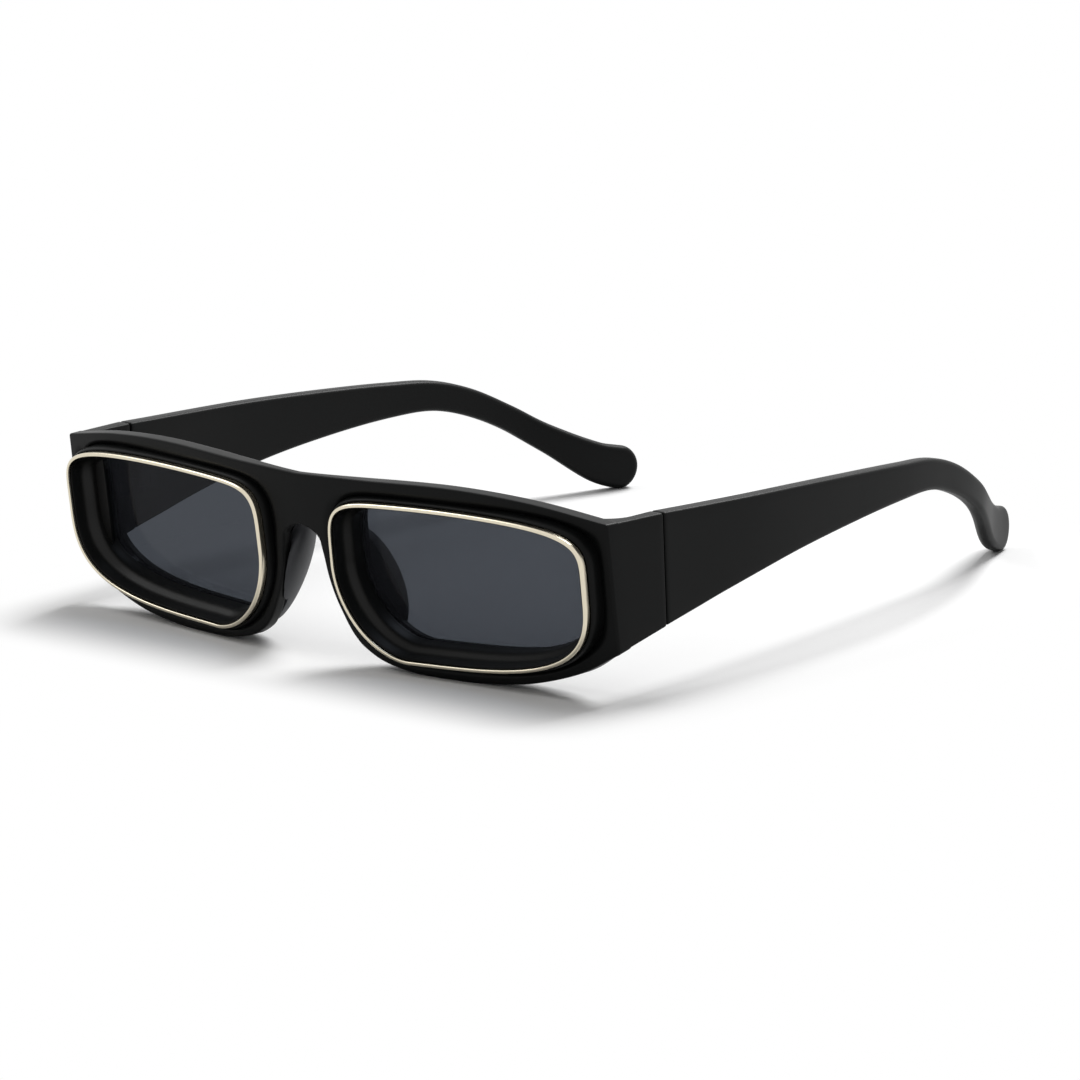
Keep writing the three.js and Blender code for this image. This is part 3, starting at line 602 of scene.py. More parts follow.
def mirrored(piece: bpy.types.Object, name: str) -> bpy.types.Object:
    """A mirror image of a piece across the middle.

    Args:
        piece: the piece.
        name: name of the image.

    Returns:
        The image.
    """
    mesh = piece.data.copy()
    mesh.transform(Matrix.Scale(-1, 4, Vector((1, 0, 0))))
    mesh.flip_normals()
    mesh.name = name
    return placed(name, mesh)


def report(piece: bpy.types.Object) -> None:
    """Logs a piece with its face count and whether it is one closed body.

    Args:
        piece: the piece.
    """
    work = bmesh.new()
    work.from_mesh(piece.data)
    open_edges = sum(1 for e in work.edges if len(e.link_faces) != 2)
    LOG.info("%s: %d faces, %d open edges", piece.name, len(work.faces), open_edges)
    work.free()


def linear(code: str, alpha: float = 1.0) -> tuple[float, float, float, float]:
    """Linear colour of an sRGB hex code, by the curve of the sRGB standard.

    Args:
        code: the code, as #rrggbb.
        alpha: opacity.

    Returns:
        Red, green, blue and opacity.
    """
    values = [int(code[k:k + 2], 16) / 255 for k in (1, 3, 5)]
    parts = [v / 12.92 if v <= 0.04045 else ((v + 0.055) / 1.055) ** 2.4 for v in values]
    return parts[0], parts[1], parts[2], alpha


def add_node(material: bpy.types.Material, kind: str, inputs: Optional[dict] = None,
             links: Optional[dict] = None, **settings) -> bpy.types.ShaderNode:
    """Adds a node with its settings, socket values and links.

    Args:
        material: material or world that owns the node tree.
        kind: node type.
        inputs: socket values by name.
        links: output sockets by input name.
        settings: properties of the node.

    Returns:
        The node.
    """
    node = material.node_tree.nodes.new(kind)
    for key, value in settings.items():
        setattr(node, key, value)
    for key, value in (inputs or {}).items():
        node.inputs[key].default_value = value
    for key, output in (links or {}).items():
        material.node_tree.links.new(output, node.inputs[key])
    return node


def blank(owner: bpy.types.ID) -> bpy.types.ID:
    """Empties the node tree of a new material or world, and gives it back.

    Args:
        owner: the material or world.

    Returns:
        The same, with an empty tree.
    """
    owner.use_nodes = True
    owner.node_tree.nodes.clear()
    return owner


def blend(owner: bpy.types.ID, first: bpy.types.NodeSocket, second: bpy.types.NodeSocket,
          share: float | bpy.types.NodeSocket, output: str) -> None:
    """Ends a node tree with a blend of two shaders.

    Args:
        owner: material or world that owns the node tree.
        first: shader seen at share 0.
        second: shader seen at share 1.
        share: a number, or the socket that gives it.
        output: type of the output node.
    """
    fixed = isinstance(share, float)
    mixed = add_node(owner, "ShaderNodeMixShader", {"Fac": share} if fixed else None,
                     None if fixed else {"Fac": share})
    owner.node_tree.links.new(first, mixed.inputs[1])
    owner.node_tree.links.new(second, mixed.inputs[2])
    add_node(owner, output, None, {"Surface": mixed.outputs["Shader"]})


def seen_rays(owner: bpy.types.ID) -> bpy.types.NodeSocket:
    """1 for rays from the camera, off a gloss or through glass, and 0 for the others.

    Args:
        owner: material or world that owns the node tree.

    Returns:
        The output socket.
    """
    rays = add_node(owner, "ShaderNodeLightPath")
    seen = add_node(owner, "ShaderNodeMath", None, {
        0: rays.outputs["Is Camera Ray"], 1: rays.outputs["Is Glossy Ray"]}, operation="MAXIMUM")
    shown = add_node(owner, "ShaderNodeMath", None, {
        0: seen.outputs["Value"], 1: rays.outputs["Is Transmission Ray"]}, operation="MAXIMUM")
    return shown.outputs["Value"]


def per_metre(size: float) -> float:
    """Texture scale for a pattern of this size in millimetres."""
    return 1 / (size * MM)


@dataclass(frozen=True)
class Finish:
    """A procedural finish on one shader: a base, a fine grain, and soft gloss variation.

    grain is the size of the surface's grain in millimetres, relief its height, and blotch the
    size of the slow variation in gloss.
    """

    name: str
    colour: str
    second: str
    roughness: float
    spread: float
    grain: float
    relief: float
    blotch: float
    metallic: float = 0.0
    ior: float = 1.5
    specular: float = 0.5
    stretch: tuple[float, float, float] = (1.0, 1.0, 1.0)
    blotch_detail: float = 3.0
    blotch_noise: float = 0.55
    grain_detail: float = 2.0
    grain_noise: float = 0.6
    noise_range: tuple[float, float] = (0.3, 0.7)
    bump_strength: float = 0.6

    def material(self) -> bpy.types.Material:
        """Builds the material.

        Returns:
            The material.
        """
        made = blank(bpy.data.materials.new(self.name))
        place = add_node(made, "ShaderNodeTexCoord").outputs["Object"]
        mapped = add_node(made, "ShaderNodeMapping", {"Scale": self.stretch}, {"Vector": place})
        where = mapped.outputs["Vector"]
        blotch = add_node(made, "ShaderNodeTexNoise", {
            "Scale": per_metre(self.blotch), "Detail": self.blotch_detail,
            "Roughness": self.blotch_noise}, {"Vector": place})
        grain = add_node(made, "ShaderNodeTexNoise", {
            "Scale": per_metre(self.grain), "Detail": self.grain_detail,
            "Roughness": self.grain_noise}, {"Vector": where})
        low, high = self.noise_range
        gloss = add_node(made, "ShaderNodeMapRange", {
            "From Min": low, "From Max": high, "To Min": self.roughness - self.spread,
            "To Max": self.roughness + self.spread}, {"Value": blotch.outputs["Fac"]})
        tone = add_node(made, "ShaderNodeMix", {"A": linear(self.colour),
                        "B": linear(self.second)}, data_type="RGBA")
        made.node_tree.links.new(grain.outputs["Fac"], tone.inputs["Factor"])
        bump = add_node(made, "ShaderNodeBump", {
            "Strength": self.bump_strength, "Distance": self.relief * MM},
            {"Height": grain.outputs["Fac"]})
        shader = add_node(made, "ShaderNodeBsdfPrincipled", {
            "Metallic": self.metallic, "IOR": self.ior, "Specular IOR Level": self.specular},
            {"Roughness": gloss.outputs["Result"], "Normal": bump.outputs["Normal"]})
        made.node_tree.links.new(tone.outputs[2], shader.inputs["Base Color"])
        add_node(made, "ShaderNodeOutputMaterial", None, {"Surface": shader.outputs["BSDF"]})
        return made


@dataclass(frozen=True)
class SmokeLens:
    """Smoke-tinted lens, cast and polished: dark, a little blue, faintly see-through."""

    name: str = "smoke_tinted_polished_lens"
    tint: str = "#95999f"
    body: str = "#42444a"
    ior: float = 1.5
    roughness: float = 0.04
    specular: float = 0.2
    body_share: float = 0.28
    blotch: float = 30.0
    blotch_detail: float = 1.0
    gloss_swing: float = 1.5

    def material(self) -> bpy.types.Material:
        """Builds the material.

        Returns:
            The material.
        """
        made = blank(bpy.data.materials.new(self.name))
        place = add_node(made, "ShaderNodeTexCoord").outputs["Object"]
        cloud = add_node(made, "ShaderNodeTexNoise", {
            "Scale": per_metre(self.blotch), "Detail": self.blotch_detail}, {"Vector": place})
        gloss = add_node(made, "ShaderNodeMapRange", {
            "To Min": self.roughness, "To Max": self.roughness * self.gloss_swing},
            {"Value": cloud.outputs["Fac"]})
        through = add_node(made, "ShaderNodeBsdfTransparent", {"Color": linear(self.tint)})
        solid = add_node(made, "ShaderNodeBsdfPrincipled", {
            "Base Color": linear(self.body), "IOR": self.ior,
            "Specular IOR Level": self.specular}, {"Roughness": gloss.outputs["Result"]})
        blend(made, through.outputs["BSDF"], solid.outputs["BSDF"], self.body_share,
              "ShaderNodeOutputMaterial")
        return made


# Injection-moulded matte plastic: near black, and the fine mould grain spreads the light
FRONT_PLASTIC = Finish(
    "matte_moulded_black_front", "#090a0a", "#0e0f0f", roughness=0.42, spread=0.03, grain=0.35,
    relief=0.003, blotch=14.0, specular=0.09)
# The funnel walls are the same plastic off a polished core, so their swells carry a soft sheen;
# their colour, a touch lighter and warmer than the front's, is a painted warm reflection of the
# trim ring
FUNNEL_PLASTIC_PAINTED_WARM_REFLECTION = Finish(
    "polished_black_funnel_painted_warm_reflection", "#0b0b0a", "#0f0f0e", roughness=0.4, spread=0.02, grain=0.5,
    relief=0.001, blotch=14.0, specular=0.24)
# The temples come from the same plastic with a slightly silkier mould
TEMPLE_PLASTIC = Finish(
    "matte_moulded_black_temple", "#0a0b0b", "#0f1010", roughness=0.4, spread=0.03, grain=0.35,
    relief=0.003, blotch=18.0, specular=0.09)
# Soft-touch pads: a little greyer and duller than the front
PAD_PLASTIC = Finish(
    "soft_touch_grey_pad", "#333437", "#3a3b3e", roughness=0.55, spread=0.03, grain=0.3,
    relief=0.005, blotch=6.0, specular=0.3)
# Polished plated brass: warm silver with a clear mirror line
RING_METAL = Finish(
    "polished_champagne_plate", "#d9cfb8", "#e0d8c4", roughness=0.2, spread=0.03, grain=0.6,
    relief=0.0004, blotch=9.0, metallic=1.0)
# Blackened steel hinges, satin from the stamping: dark, with fine lines along the leaf
HINGE_METAL = Finish(
    "blackened_satin_hinge_steel", "#2a2a2b", "#343435", roughness=0.36, spread=0.04, grain=0.12,
    relief=0.002, blotch=3.0, metallic=1.0, stretch=(1.0, 0.15, 1.0))
# Turned screws, blackened like the hinges: a little glossier, with a tight turned grain
SCREW_METAL = Finish(
    "blackened_turned_steel", "#3c3c3b", "#484847", roughness=0.3, spread=0.03, grain=0.08,
    relief=0.001, blotch=2.0, metallic=1.0)


class Palette:
    """One material for each finish, made once."""

    def __init__(self) -> None:
        """Makes the materials."""
        self.front = FRONT_PLASTIC.material()
        self.funnel = FUNNEL_PLASTIC_PAINTED_WARM_REFLECTION.material()
        self.temple = TEMPLE_PLASTIC.material()
        self.pad = PAD_PLASTIC.material()
        self.ring = RING_METAL.material()
        self.lens = SmokeLens().material()
        self.hinge = HINGE_METAL.material()
        self.screw = SCREW_METAL.material()


def dress(piece: bpy.types.Object, material: bpy.types.Material, slot: str, body: str,
          *nodes: str) -> None:
    """Gives a piece its finish, its body and the solids that it stands for.

    Args:
        piece: the finished piece.
        material: its finish.
        slot: the record's material slot; not used.
        body: the body that it rides on.
        nodes: the solids that it replaces.
    """
    piece.data.materials.clear()
    piece.data.materials.append(material)
    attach(piece, body)
    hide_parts(*nodes)
    report(piece)


@dataclass(frozen=True)
class Tower:
    """Collar and rim tower round an eye, with the funnel steps, ring groove and lens seat."""

    collar_centre: float = 0.98
    collar_width: float = 0.6
    collar_front: float = 1.5
    collar_depth: float = 3.2
    shoulder: float = 0.18
    shoulder_start: float = 6.3
    shoulder_end: float = 7.2
    back: float = 11.4
    back_round: float = 0.5
    # Lens seat as (offset, depth), from its back corner to the ledge before the lens
    seat_rows: Table = ((-0.6, 10.15), (-0.6, 7.85), (-1.98, 7.85), (-1.98, 7.4))
    # Lip inside the ring, the ring's groove, and the rounded start of the collar
    groove_rows: Table = (
        (-0.2, 0.56), (-0.12, 0.64), (-0.12, 2.7), (0.9, 2.7), (0.9, 1.7), (0.91, 1.56),
        (0.94, 1.51),
    )
    # Outer corner of the back, as distance in from the flank and depth
    back_rows: Table = ((0.01, 11.0), (0.1, 11.32), (0.5, 11.4))
    # Lip behind the lens, down to the seat
    lip_rows: Table = ((-0.75, 11.4), (-0.95, 11.34), (-1.07, 11.2), (-1.1, 11.0), (-1.1, 10.15))
    # Depth and offset of the funnel wall, from the ring down to the lens
    wall_places: Table = (
        (0.6, -0.2), (0.8, -0.3), (2.0, -0.46), (2.9, -0.58), (3.4, -0.76), (4.0, -1.14),
        (4.6, -1.54), (5.1, -1.78), (5.7, -1.88), (7.2, -1.94),
    )
    wall_steps: int = 45
    funnel_reach: tuple[float, float] = (0.5, 7.7)
    path_samples: int = 400

    @property
    def flank(self) -> float:
        """Offset of the collar's outer flank."""
        return self.collar_centre + self.collar_width

    @property
    def low_flank(self) -> float:
        """Offset of the flank behind its shoulder."""
        return self.flank - self.shoulder

    def swells(self) -> Table:
        """Funnel wall from deep to shallow: a ledge and two soft swells.

        Returns:
            Pairs of offset and depth.
        """
        wall = smooth_through(self.wall_places)
        depths = np.linspace(self.wall_places[-1][0], self.wall_places[0][0], self.wall_steps)
        return [(float(wall(np.array([deep]))[0]), float(deep)) for deep in depths]

    def outer_path(self) -> np.ndarray:
        """Outer path of (offset, depth) from the collar's front to the back's rounding.

        Returns:
            One row for each sample.
        """
        turn = np.linspace(0, QUARTER, self.path_samples)
        bead = np.stack([self.collar_centre + self.collar_width * np.sin(turn),
                         self.collar_depth - (self.collar_depth - self.collar_front)
                         * np.cos(turn)], -1)
        depth = np.linspace(self.collar_depth, self.back - self.back_round, self.path_samples)
        fall = smoothstep((depth - self.shoulder_start) / (self.shoulder_end - self.shoulder_start))
        return np.vstack([bead, np.stack([self.flank - self.shoulder * fall, depth], -1)[1:]])


@dataclass
class MouldedFront:
    """The moulded front: plate with brow, bridge and rims, collars, funnels and endpieces."""

    edge: float = 0.42
    corner_round: float = 0.6
    arch_half_width: float = 5.0
    arch_height: float = 3.4
    groove_width: float = 2.3
    groove_depth: float = 0.85
    groove_power: float = 2.2
    groove_shares: Sequence[float] = (0.04, 0.12, 0.22, 0.34, 0.47, 0.6, 0.73, 0.86, 1.0)
    # Shares of the face between collar and edge that groove and edge rounding may take
    groove_room: float = 0.62
    groove_least: float = 0.3
    edge_room: float = 0.42
    wall_shares: Sequence[float] = (0.25, 0.5, 0.75)
    side_blend: float = 2.0
    fillet: float = 6.0
    fillet_dip: float = 0.15
    fillet_start: float = 0.6
    buried: float = 0.4
    start_gap: float = 0.05
    seam_edge: float = 0.35
    endpiece_edge: float = 0.55
    least_edge: float = 0.1
    lean_shares: Sequence[float] = (0.15, 0.35, 0.6, 0.8)
    flush: float = 0.024
    under_corner: float = 10.0
    middle_snap: float = 0.002
    # Place that the outline's columns are counted round, in front view
    heart: tuple[float, float] = (38.0, 20.0)
    tower: Tower = Tower()
    # Lower outline from the arch's foot round the rim to the outer corner
    rim_places: Table = (
        (5.0, 24.1), (5.5, 21.5), (6.05, 18.2), (6.8, 15.4), (7.75, 12.8), (9.0, 10.2),
        (10.2, 7.9), (11.6, 5.9), (13.6, 4.0), (18.0, 1.7), (24.5, 0.35), (31.2, 0.0),
        (37.7, 0.0), (44.0, 0.35), (52.0, 1.3), (60.0, 3.4), (66.0, 5.8), (72.5, 9.6),
    )
    # Which of the outline's segments are rounded corners, and which is the middle line
    bend_pieces: tuple[int, int] = (1, 5)
    middle_piece: int = 3
    collar_steps: int = 12
    face_steps: int = 6
    back_steps: int = 8
    edge_steps: int = 5
    flank_steps: int = 10
    search_steps: int = 40
    search_reach: float = 8.0
    corner_columns: int = 4
    bend_samples: int = 40
    curve_samples: int = 1500
    line_samples: int = 200
    middle_samples: int = 50
    fillet_steps: int = 20
    seam_steps: int = 5
    section_steps: int = 7
    section_splits: int = 8

    def bends(self, corner: np.ndarray, before: np.ndarray, after: np.ndarray) -> np.ndarray:
        """A rounded corner between two directions.

        Args:
            corner: the corner.
            before: direction back along the outline.
            after: direction onward along it.

        Returns:
            Places along the bend.
        """
        t = np.linspace(0, 1, self.bend_samples)[:, None]
        first = corner + before * self.corner_round
        last = corner + after * self.corner_round
        return (1 - t) ** 2 * first + 2 * t * (1 - t) * corner + t * t * last

    def segments(self) -> list[np.ndarray]:
        """Pieces of the half outline in front view, counter-clockwise from the side.

        Returns:
            Side, upper corner, brow, middle line, lower outline and lower corner.
        """
        low_corner = np.array(self.rim_places[-1])
        top_corner = np.array([FRONT.half_width, FRONT.corner_z])
        rim = self.rim_curve()
        trimmed = rim[np.linalg.norm(rim - low_corner, axis=1) > self.corner_round]
        towards = (trimmed[-1] - low_corner) / np.linalg.norm(trimmed[-1] - low_corner)
        low_bend = self.bends(low_corner, towards, np.array([0.0, 1.0]))
        trimmed = np.vstack([trimmed, low_bend[:1]])
        x = np.linspace(FRONT.half_width, 0, self.curve_samples)
        brow = np.stack([x, FRONT.brow_z(x)], -1)
        brow = brow[np.linalg.norm(brow - top_corner, axis=1) > self.corner_round]
        away = (brow[0] - top_corner) / np.linalg.norm(brow[0] - top_corner)
        top_bend = self.bends(top_corner, np.array([0.0, -1.0]), away)
        brow = np.vstack([top_bend[-1:], brow])
        side = np.linspace(low_bend[-1], top_bend[0], self.line_samples)
        turn = np.linspace(QUARTER, 0, self.line_samples)
        arch = np.stack([self.arch_half_width * np.cos(turn),
                         FRONT.arch_top - self.arch_height * (1 - np.sin(turn))], -1)
        centre = np.linspace([0, brow[-1, 1]], [0, FRONT.arch_top], self.middle_samples)
        lower = np.vstack([arch, trimmed[1:]])
        return [side, top_bend, brow, centre, lower, low_bend]

    def rim_curve(self) -> np.ndarray:
        """Smooth curve through the lower outline.

        Returns:
            Places along the curve.
        """
        places = np.array(self.rim_places)
        length = np.concatenate([[0], np.cumsum(np.linalg.norm(np.diff(places, axis=0), axis=1))])
        ways = np.linspace(0, length[-1], self.curve_samples)
        return np.stack([smooth_through(np.stack([length, places[:, k]], -1))(ways)
                         for k in (0, 1)], -1)

    def bearing(self, spots: np.ndarray) -> np.ndarray:
        """Rising angles of spots about the heart, in front view."""
        across, up = (spots - np.array(self.heart)).T
        return np.unwrap(np.arctan2(up, across))

    def segment_starts(self, pieces: Sequence[np.ndarray], own: np.ndarray) -> list[int]:
        """Shares the columns out among the outline's segments.

        Args:
            pieces: the segments.
            own: rising angles of the columns.

        Returns:
            First column of each segment, and last the count of columns.
        """
        ring = self.bearing(np.vstack(pieces))
        ends = np.cumsum([len(piece) for piece in pieces]) - 1
        picks = [int(np.argmin(np.abs(own - (ring[end] - ring[0])))) for end in ends]
        few, count = self.corner_columns, len(own)
        top_middle = (picks[0] + picks[1]) // 2
        low_middle = (picks[4] + count) // 2
        return [0, top_middle - few, top_middle + few, picks[2], picks[3], low_middle - 2 * few,
                count]

    def boundary(self, base: np.ndarray) -> tuple[np.ndarray, np.ndarray, np.ndarray]:
        """The plate's edge for each column.

        Args:
            base: where each column's collar meets the front face, in front view.

        Returns:
            Edge places, inward directions, and whether a column ends on the middle line.
        """
        pieces, count = self.segments(), len(base)
        own = np.mod(self.bearing(base) - self.bearing(pieces[0])[0], 2 * np.pi)
        order = np.argsort(own)
        closed = np.append(own[order], 2 * np.pi)
        keys = self.segment_starts(pieces, own[order])
        edge, inward = np.zeros((count, 2)), np.zeros((count, 2))
        middle = np.zeros(count, bool)
        for number, piece in enumerate(pieces):
            first, last = keys[number], keys[number + 1]
            columns = np.arange(first, min(last + 1, count))
            along = np.gradient(piece, axis=0)
            angle, span = self.bearing(piece), closed[first:last + 1]
            share = (span - span[0]) / (span[-1] - span[0])
            if number in self.bend_pieces:
                share = np.linspace(0, 1, len(span))
            target = (angle[0] + share * (angle[-1] - angle[0]))[:len(columns)]
            along /= np.linalg.norm(along, axis=1, keepdims=True)
            edge[columns] = np.stack([np.interp(target, angle, piece[:, k]) for k in (0, 1)], -1)
            facing = np.stack([np.interp(target, angle, -along[:, 1]),
                               np.interp(target, angle, along[:, 0])], -1)
            inward[columns] = facing / np.linalg.norm(facing, axis=1, keepdims=True)
            if number == self.middle_piece:
                inner = columns[1:-1]
                middle[inner] = True
                edge[inner, 1] = np.linspace(piece[0, 1] - self.edge, piece[-1, 1] + self.edge,
                                             len(inner))
                edge[[first, last], 0] = 0
        inward[keys[self.middle_piece]] = (0, -1)
        inward[keys[self.middle_piece + 1]] = (0, 1)
        back = np.empty(count, int)
        back[order] = np.arange(count)
        return edge[back], inward[back], middle[back]

    def hit(self, path: np.ndarray, behind: Face) -> np.ndarray:
        """How far along a path each column meets a face.

        Args:
            path: pairs of offset and depth.
            behind: place of the face at x and z.

        Returns:
            Path place for each column, in samples.
        """
        gap = []
        for offset, depth in path:
            spot = EYE.place(offset, depth)
            gap.append(spot[:, 1] - behind(spot[:, 0], spot[:, 2]))
        steps = np.arange(len(path))
        return np.array([np.interp(0, column, steps) for column in np.array(gap).T])

    def follow(self, path: np.ndarray, at: np.ndarray) -> np.ndarray:
        """Places along a path for each column."""
        steps = np.arange(len(path))
        return EYE.place(np.interp(at, steps, path[:, 0]), np.interp(at, steps, path[:, 1]))

    def half_rings(self) -> tuple[list[np.ndarray], int, int]:
        """Rings of the half front from the lens seat round to it again.

        Returns:
            The rings, and the first and last ring of the outer wall.
        """
        path = self.tower.outer_path()
        start = self.hit(path, FRONT.face_y)
        base = self.follow(path, start)[:, [0, 2]]
        edge, inward, middle = self.boundary(base)
        room = np.linalg.norm(base - edge, axis=1)
        radius = np.where(middle, 0.0, np.minimum(self.edge, self.edge_room * room))
        rings = eye_rings(self.tower.seat_rows)
        rings += eye_rings(self.tower.swells())
        rings += eye_rings(self.tower.groove_rows)
        rings += self.collar_rings(path, start, base, edge + inward * radius[:, None])
        first_wall = len(rings) - 1
        rings += self.wall_rings(edge, inward, radius)
        last_wall = len(rings) - 1
        rings += self.back_rings(path, rings[-1])
        return rings, first_wall, last_wall

    @staticmethod
    def on_face(spots: np.ndarray, sunk: Number) -> np.ndarray:
        """Places on the front face for spots in front view, sunk by some depth."""
        x, z = spots[:, 0], spots[:, 1]
        return np.stack([x, FRONT.face_y(x, z) + sunk, z], -1)

    def collar_rings(self, path: np.ndarray, start: np.ndarray, base: np.ndarray,
                     inset: np.ndarray) -> list[np.ndarray]:
        """Rings down the collar, through the concave groove and over the face to its edge.

        Args:
            path: outer path of the tower, as offset and depth.
            start: where each column's collar meets the front face, along that path.
            base: the same spots in front view.
            inset: inner side of the plate's edge rounding, in front view.

        Returns:
            The rings.
        """
        span = np.linalg.norm(inset - base, axis=1)
        width = np.minimum(self.groove_width, self.groove_room * span)
        depth = self.groove_depth * np.clip(width / self.groove_width, self.groove_least, 1)
        deep = start.copy()
        for _ in range(self.search_steps):
            spot = self.follow(path, deep)
            short = FRONT.face_y(spot[:, 0], spot[:, 2]) + depth - spot[:, 1]
            deep = np.clip(deep + short * len(path) / self.search_reach, 0, len(path) - 1)
        shares = np.linspace(0, 1, self.collar_steps)
        rings = [self.follow(path, deep * share) for share in shares]
        foot = rings[-1][:, [0, 2]]
        way = inset - foot
        length = np.linalg.norm(way, axis=1)
        wide = np.minimum(self.groove_width, self.groove_room * length) / length
        for share in self.groove_shares:
            sink = depth * (1 - share) ** self.groove_power
            rings.append(self.on_face(foot + way * (wide * share)[:, None], sink))
        for share in np.linspace(0, 1, self.face_steps + 1)[1:]:
            mix = wide + (1 - wide) * share
            rings.append(self.on_face(foot + way * mix[:, None], 0.0))
        return rings

    def wall_rings(self, edge: np.ndarray, inward: np.ndarray, radius: np.ndarray
                   ) -> list[np.ndarray]:
        """Rings round the plate's edge: front rounding, wall and back rounding.

        Args:
            edge: the plate's edge in front view.
            inward: direction from the edge into the plate.
            radius: radius of the edge rounding.

        Returns:
            The rings.
        """
        thick = FRONT.thick(edge[:, 0])
        front_y = FRONT.face_y(edge[:, 0], edge[:, 1])
        turns = np.linspace(0, QUARTER, self.edge_steps)
        rows = [(1 - math.sin(turn), radius * (1 - math.cos(turn))) for turn in turns[1:]]
        rows += [(0.0, radius + (thick - 2 * radius) * share) for share in self.wall_shares]
        rows += [(1 - math.sin(turn), thick - radius * (1 - math.cos(turn)))
                 for turn in turns[::-1]]
        rings = []
        for into, sunk in rows:
            ring = self.on_face(edge + inward * (radius * into)[:, None], sunk)
            rings.append(self.sheared(ring, edge, front_y))
        return rings

    def back_rings(self, path: np.ndarray, outer: np.ndarray) -> list[np.ndarray]:
        """Rings over the back face to the tower, down it, and round its back to the lens seat.

        Args:
            path: outer path of the tower, as offset and depth.
            outer: last ring of the plate's edge.

        Returns:
            The rings.
        """
        meet = self.hit(path, FRONT.back_y)
        base = self.follow(path, meet)
        rings = []
        for share in np.linspace(0, 1, self.back_steps + 1)[1:-1]:
            mixed = outer * (1 - share) + base * share
            mixed[:, 1] = FRONT.back_y(mixed[:, 0], mixed[:, 2])
            rings.append(mixed)
        for share in np.linspace(0, 1, self.flank_steps):
            rings.append(self.follow(path, meet + (len(path) - 1 - meet) * share))
        corner = [(self.tower.low_flank - into, depth) for into, depth in self.tower.back_rows]
        return rings + eye_rings(rounded(*corner)) + eye_rings(self.tower.lip_rows)

    def sheared(self, ring: np.ndarray, edge: np.ndarray, front_y: np.ndarray) -> np.ndarray:
        """Lets the wall follow the flared side face and the rising underside of the corner.

        Args:
            ring: a ring of the wall.
            edge: the plate's edge in front view.
            front_y: the front face at that edge.

        Returns:
            The ring, moved.
        """
        made = ring.copy()
        side = smoothstep(1 + (edge[:, 0] - FRONT.half_width) / self.side_blend)
        made[:, 0] += side * FRONT.side_flare * (ring[:, 1] - FRONT.corner_y) / FRONT.run
        low = np.linalg.norm(edge - np.array(self.rim_places[-1]), axis=1)
        corner = smoothstep(1 - low / self.under_corner)
        made[:, 2] += corner * FRONT.under_rate * (ring[:, 1] - front_y)
        return made

    def shell(self) -> bpy.types.Object:
        """The plate with both collars and funnels, without endpieces.

        Returns:
            The solid.
        """
        rings, first, last = self.half_rings()
        count = len(rings[0])
        places = np.concatenate(rings)
        places[np.abs(places[:, 0]) < self.middle_snap, 0] = 0
        # The halves share their middle, so no wall is left there
        faces = [face for face in grid_faces(len(rings), count, True, True)
                 if not (first <= face[0] // count < last and not places[face, 0].any())]
        both = np.concatenate([places, places * np.array([-1, 1, 1])])
        shifted = [[k + len(places) for k in face[::-1]] for face in faces]
        return make_piece("moulded_front", both, faces + shifted)

    def endpiece(self, name: str) -> bpy.types.Object:
        """The block that turns back from the corner to the seam, on the wearer's left.

        Args:
            name: name of the block.

        Returns:
            The block.
        """
        back_y = FRONT.face_y(FRONT.half_width, FRONT.corner_z) + FRONT.thickness
        inner_x = FRONT.inner_x
        hidden_x = inner_x - self.fillet - self.buried
        front_y = back_y - FRONT.thickness + self.edge
        stations = [(front_y + self.start_gap, hidden_x, 1.0, self.flush),
                    (front_y + self.buried, hidden_x, 1.0, 0.0)]
        start = math.acos((self.fillet - self.fillet_dip) / self.fillet) * self.fillet_start
        for turn in np.linspace(start, QUARTER, self.fillet_steps):
            y = back_y + self.fillet - self.fillet_dip - self.fillet * math.cos(turn)
            x = inner_x - self.fillet * (1 - math.sin(turn))
            stations.append((y, x, 1.0, 0.0))
        bend_end = stations[-1][0]
        for share in self.lean_shares:
            y = bend_end + (FRONT.seam_y - self.seam_edge - bend_end) * share
            stations.append((y, inner_x, 1 - share, 0.0))
        for turn in np.linspace(0, QUARTER, self.seam_steps):
            inset = self.seam_edge * (1 - math.cos(turn))
            y = FRONT.seam_y - self.seam_edge * (1 - math.sin(turn))
            stations.append((y, inner_x, 0.0, inset))
        rings = [self.endpiece_ring(*station) for station in stations]
        return loft(name, rings, False)

    def endpiece_ring(self, y: float, inner_x: float, tilted: float, inset: float) -> np.ndarray:
        """One section of an endpiece.

        Args:
            y: its place at the corner's height.
            inner_x: its inner face.
            tilted: 1 where it leans with the front, 0 where it leans with the seam.
            inset: how far its outline is drawn in.

        Returns:
            The section's places.
        """
        outer_x = FRONT.side_x(y) + self.flush / 2 - inset
        top, bottom = FRONT.top_z(y) - inset, FRONT.bottom_z(y) + inset
        inner_x += inset
        r = max(self.endpiece_edge - inset / 2, self.least_edge)
        corners = ((outer_x - r, top - r), (inner_x + r, top - r),
                   (inner_x + r, bottom + r), (outer_x - r, bottom + r))
        flat = []
        for quarter, (x, z) in enumerate(corners):
            for turn in np.linspace(0, QUARTER, self.section_steps):
                angle = QUARTER * quarter + turn
                flat.append((x + r * math.cos(angle), z + r * math.sin(angle)))
        flat = np.array(flat)
        dense = []
        for k, spot in enumerate(flat):
            way = flat[(k + 1) % len(flat)] - spot
            splits = 1 if (k + 1) % self.section_steps else self.section_splits
            dense.extend(spot + way * i / splits for i in range(splits))
        dense = np.array(dense)
        lean = (FRONT.corner_z - dense[:, 1]) * math.tan(FRONT.tilt)
        seam = FRONT.seam_at(dense[:, 1]) - FRONT.seam_y
        place_y = y + lean * tilted + seam * (1 - tilted)
        outward = np.clip((dense[:, 0] - inner_x) / (outer_x - inner_x), 0, 1)
        x = dense[:, 0] + outward * (FRONT.side_x(place_y) - FRONT.side_x(y))
        upward = np.clip((dense[:, 1] - bottom) / (top - bottom), 0, 1)
        z = dense[:, 1] + (1 - upward) * (FRONT.bottom_z(place_y) - FRONT.bottom_z(y))
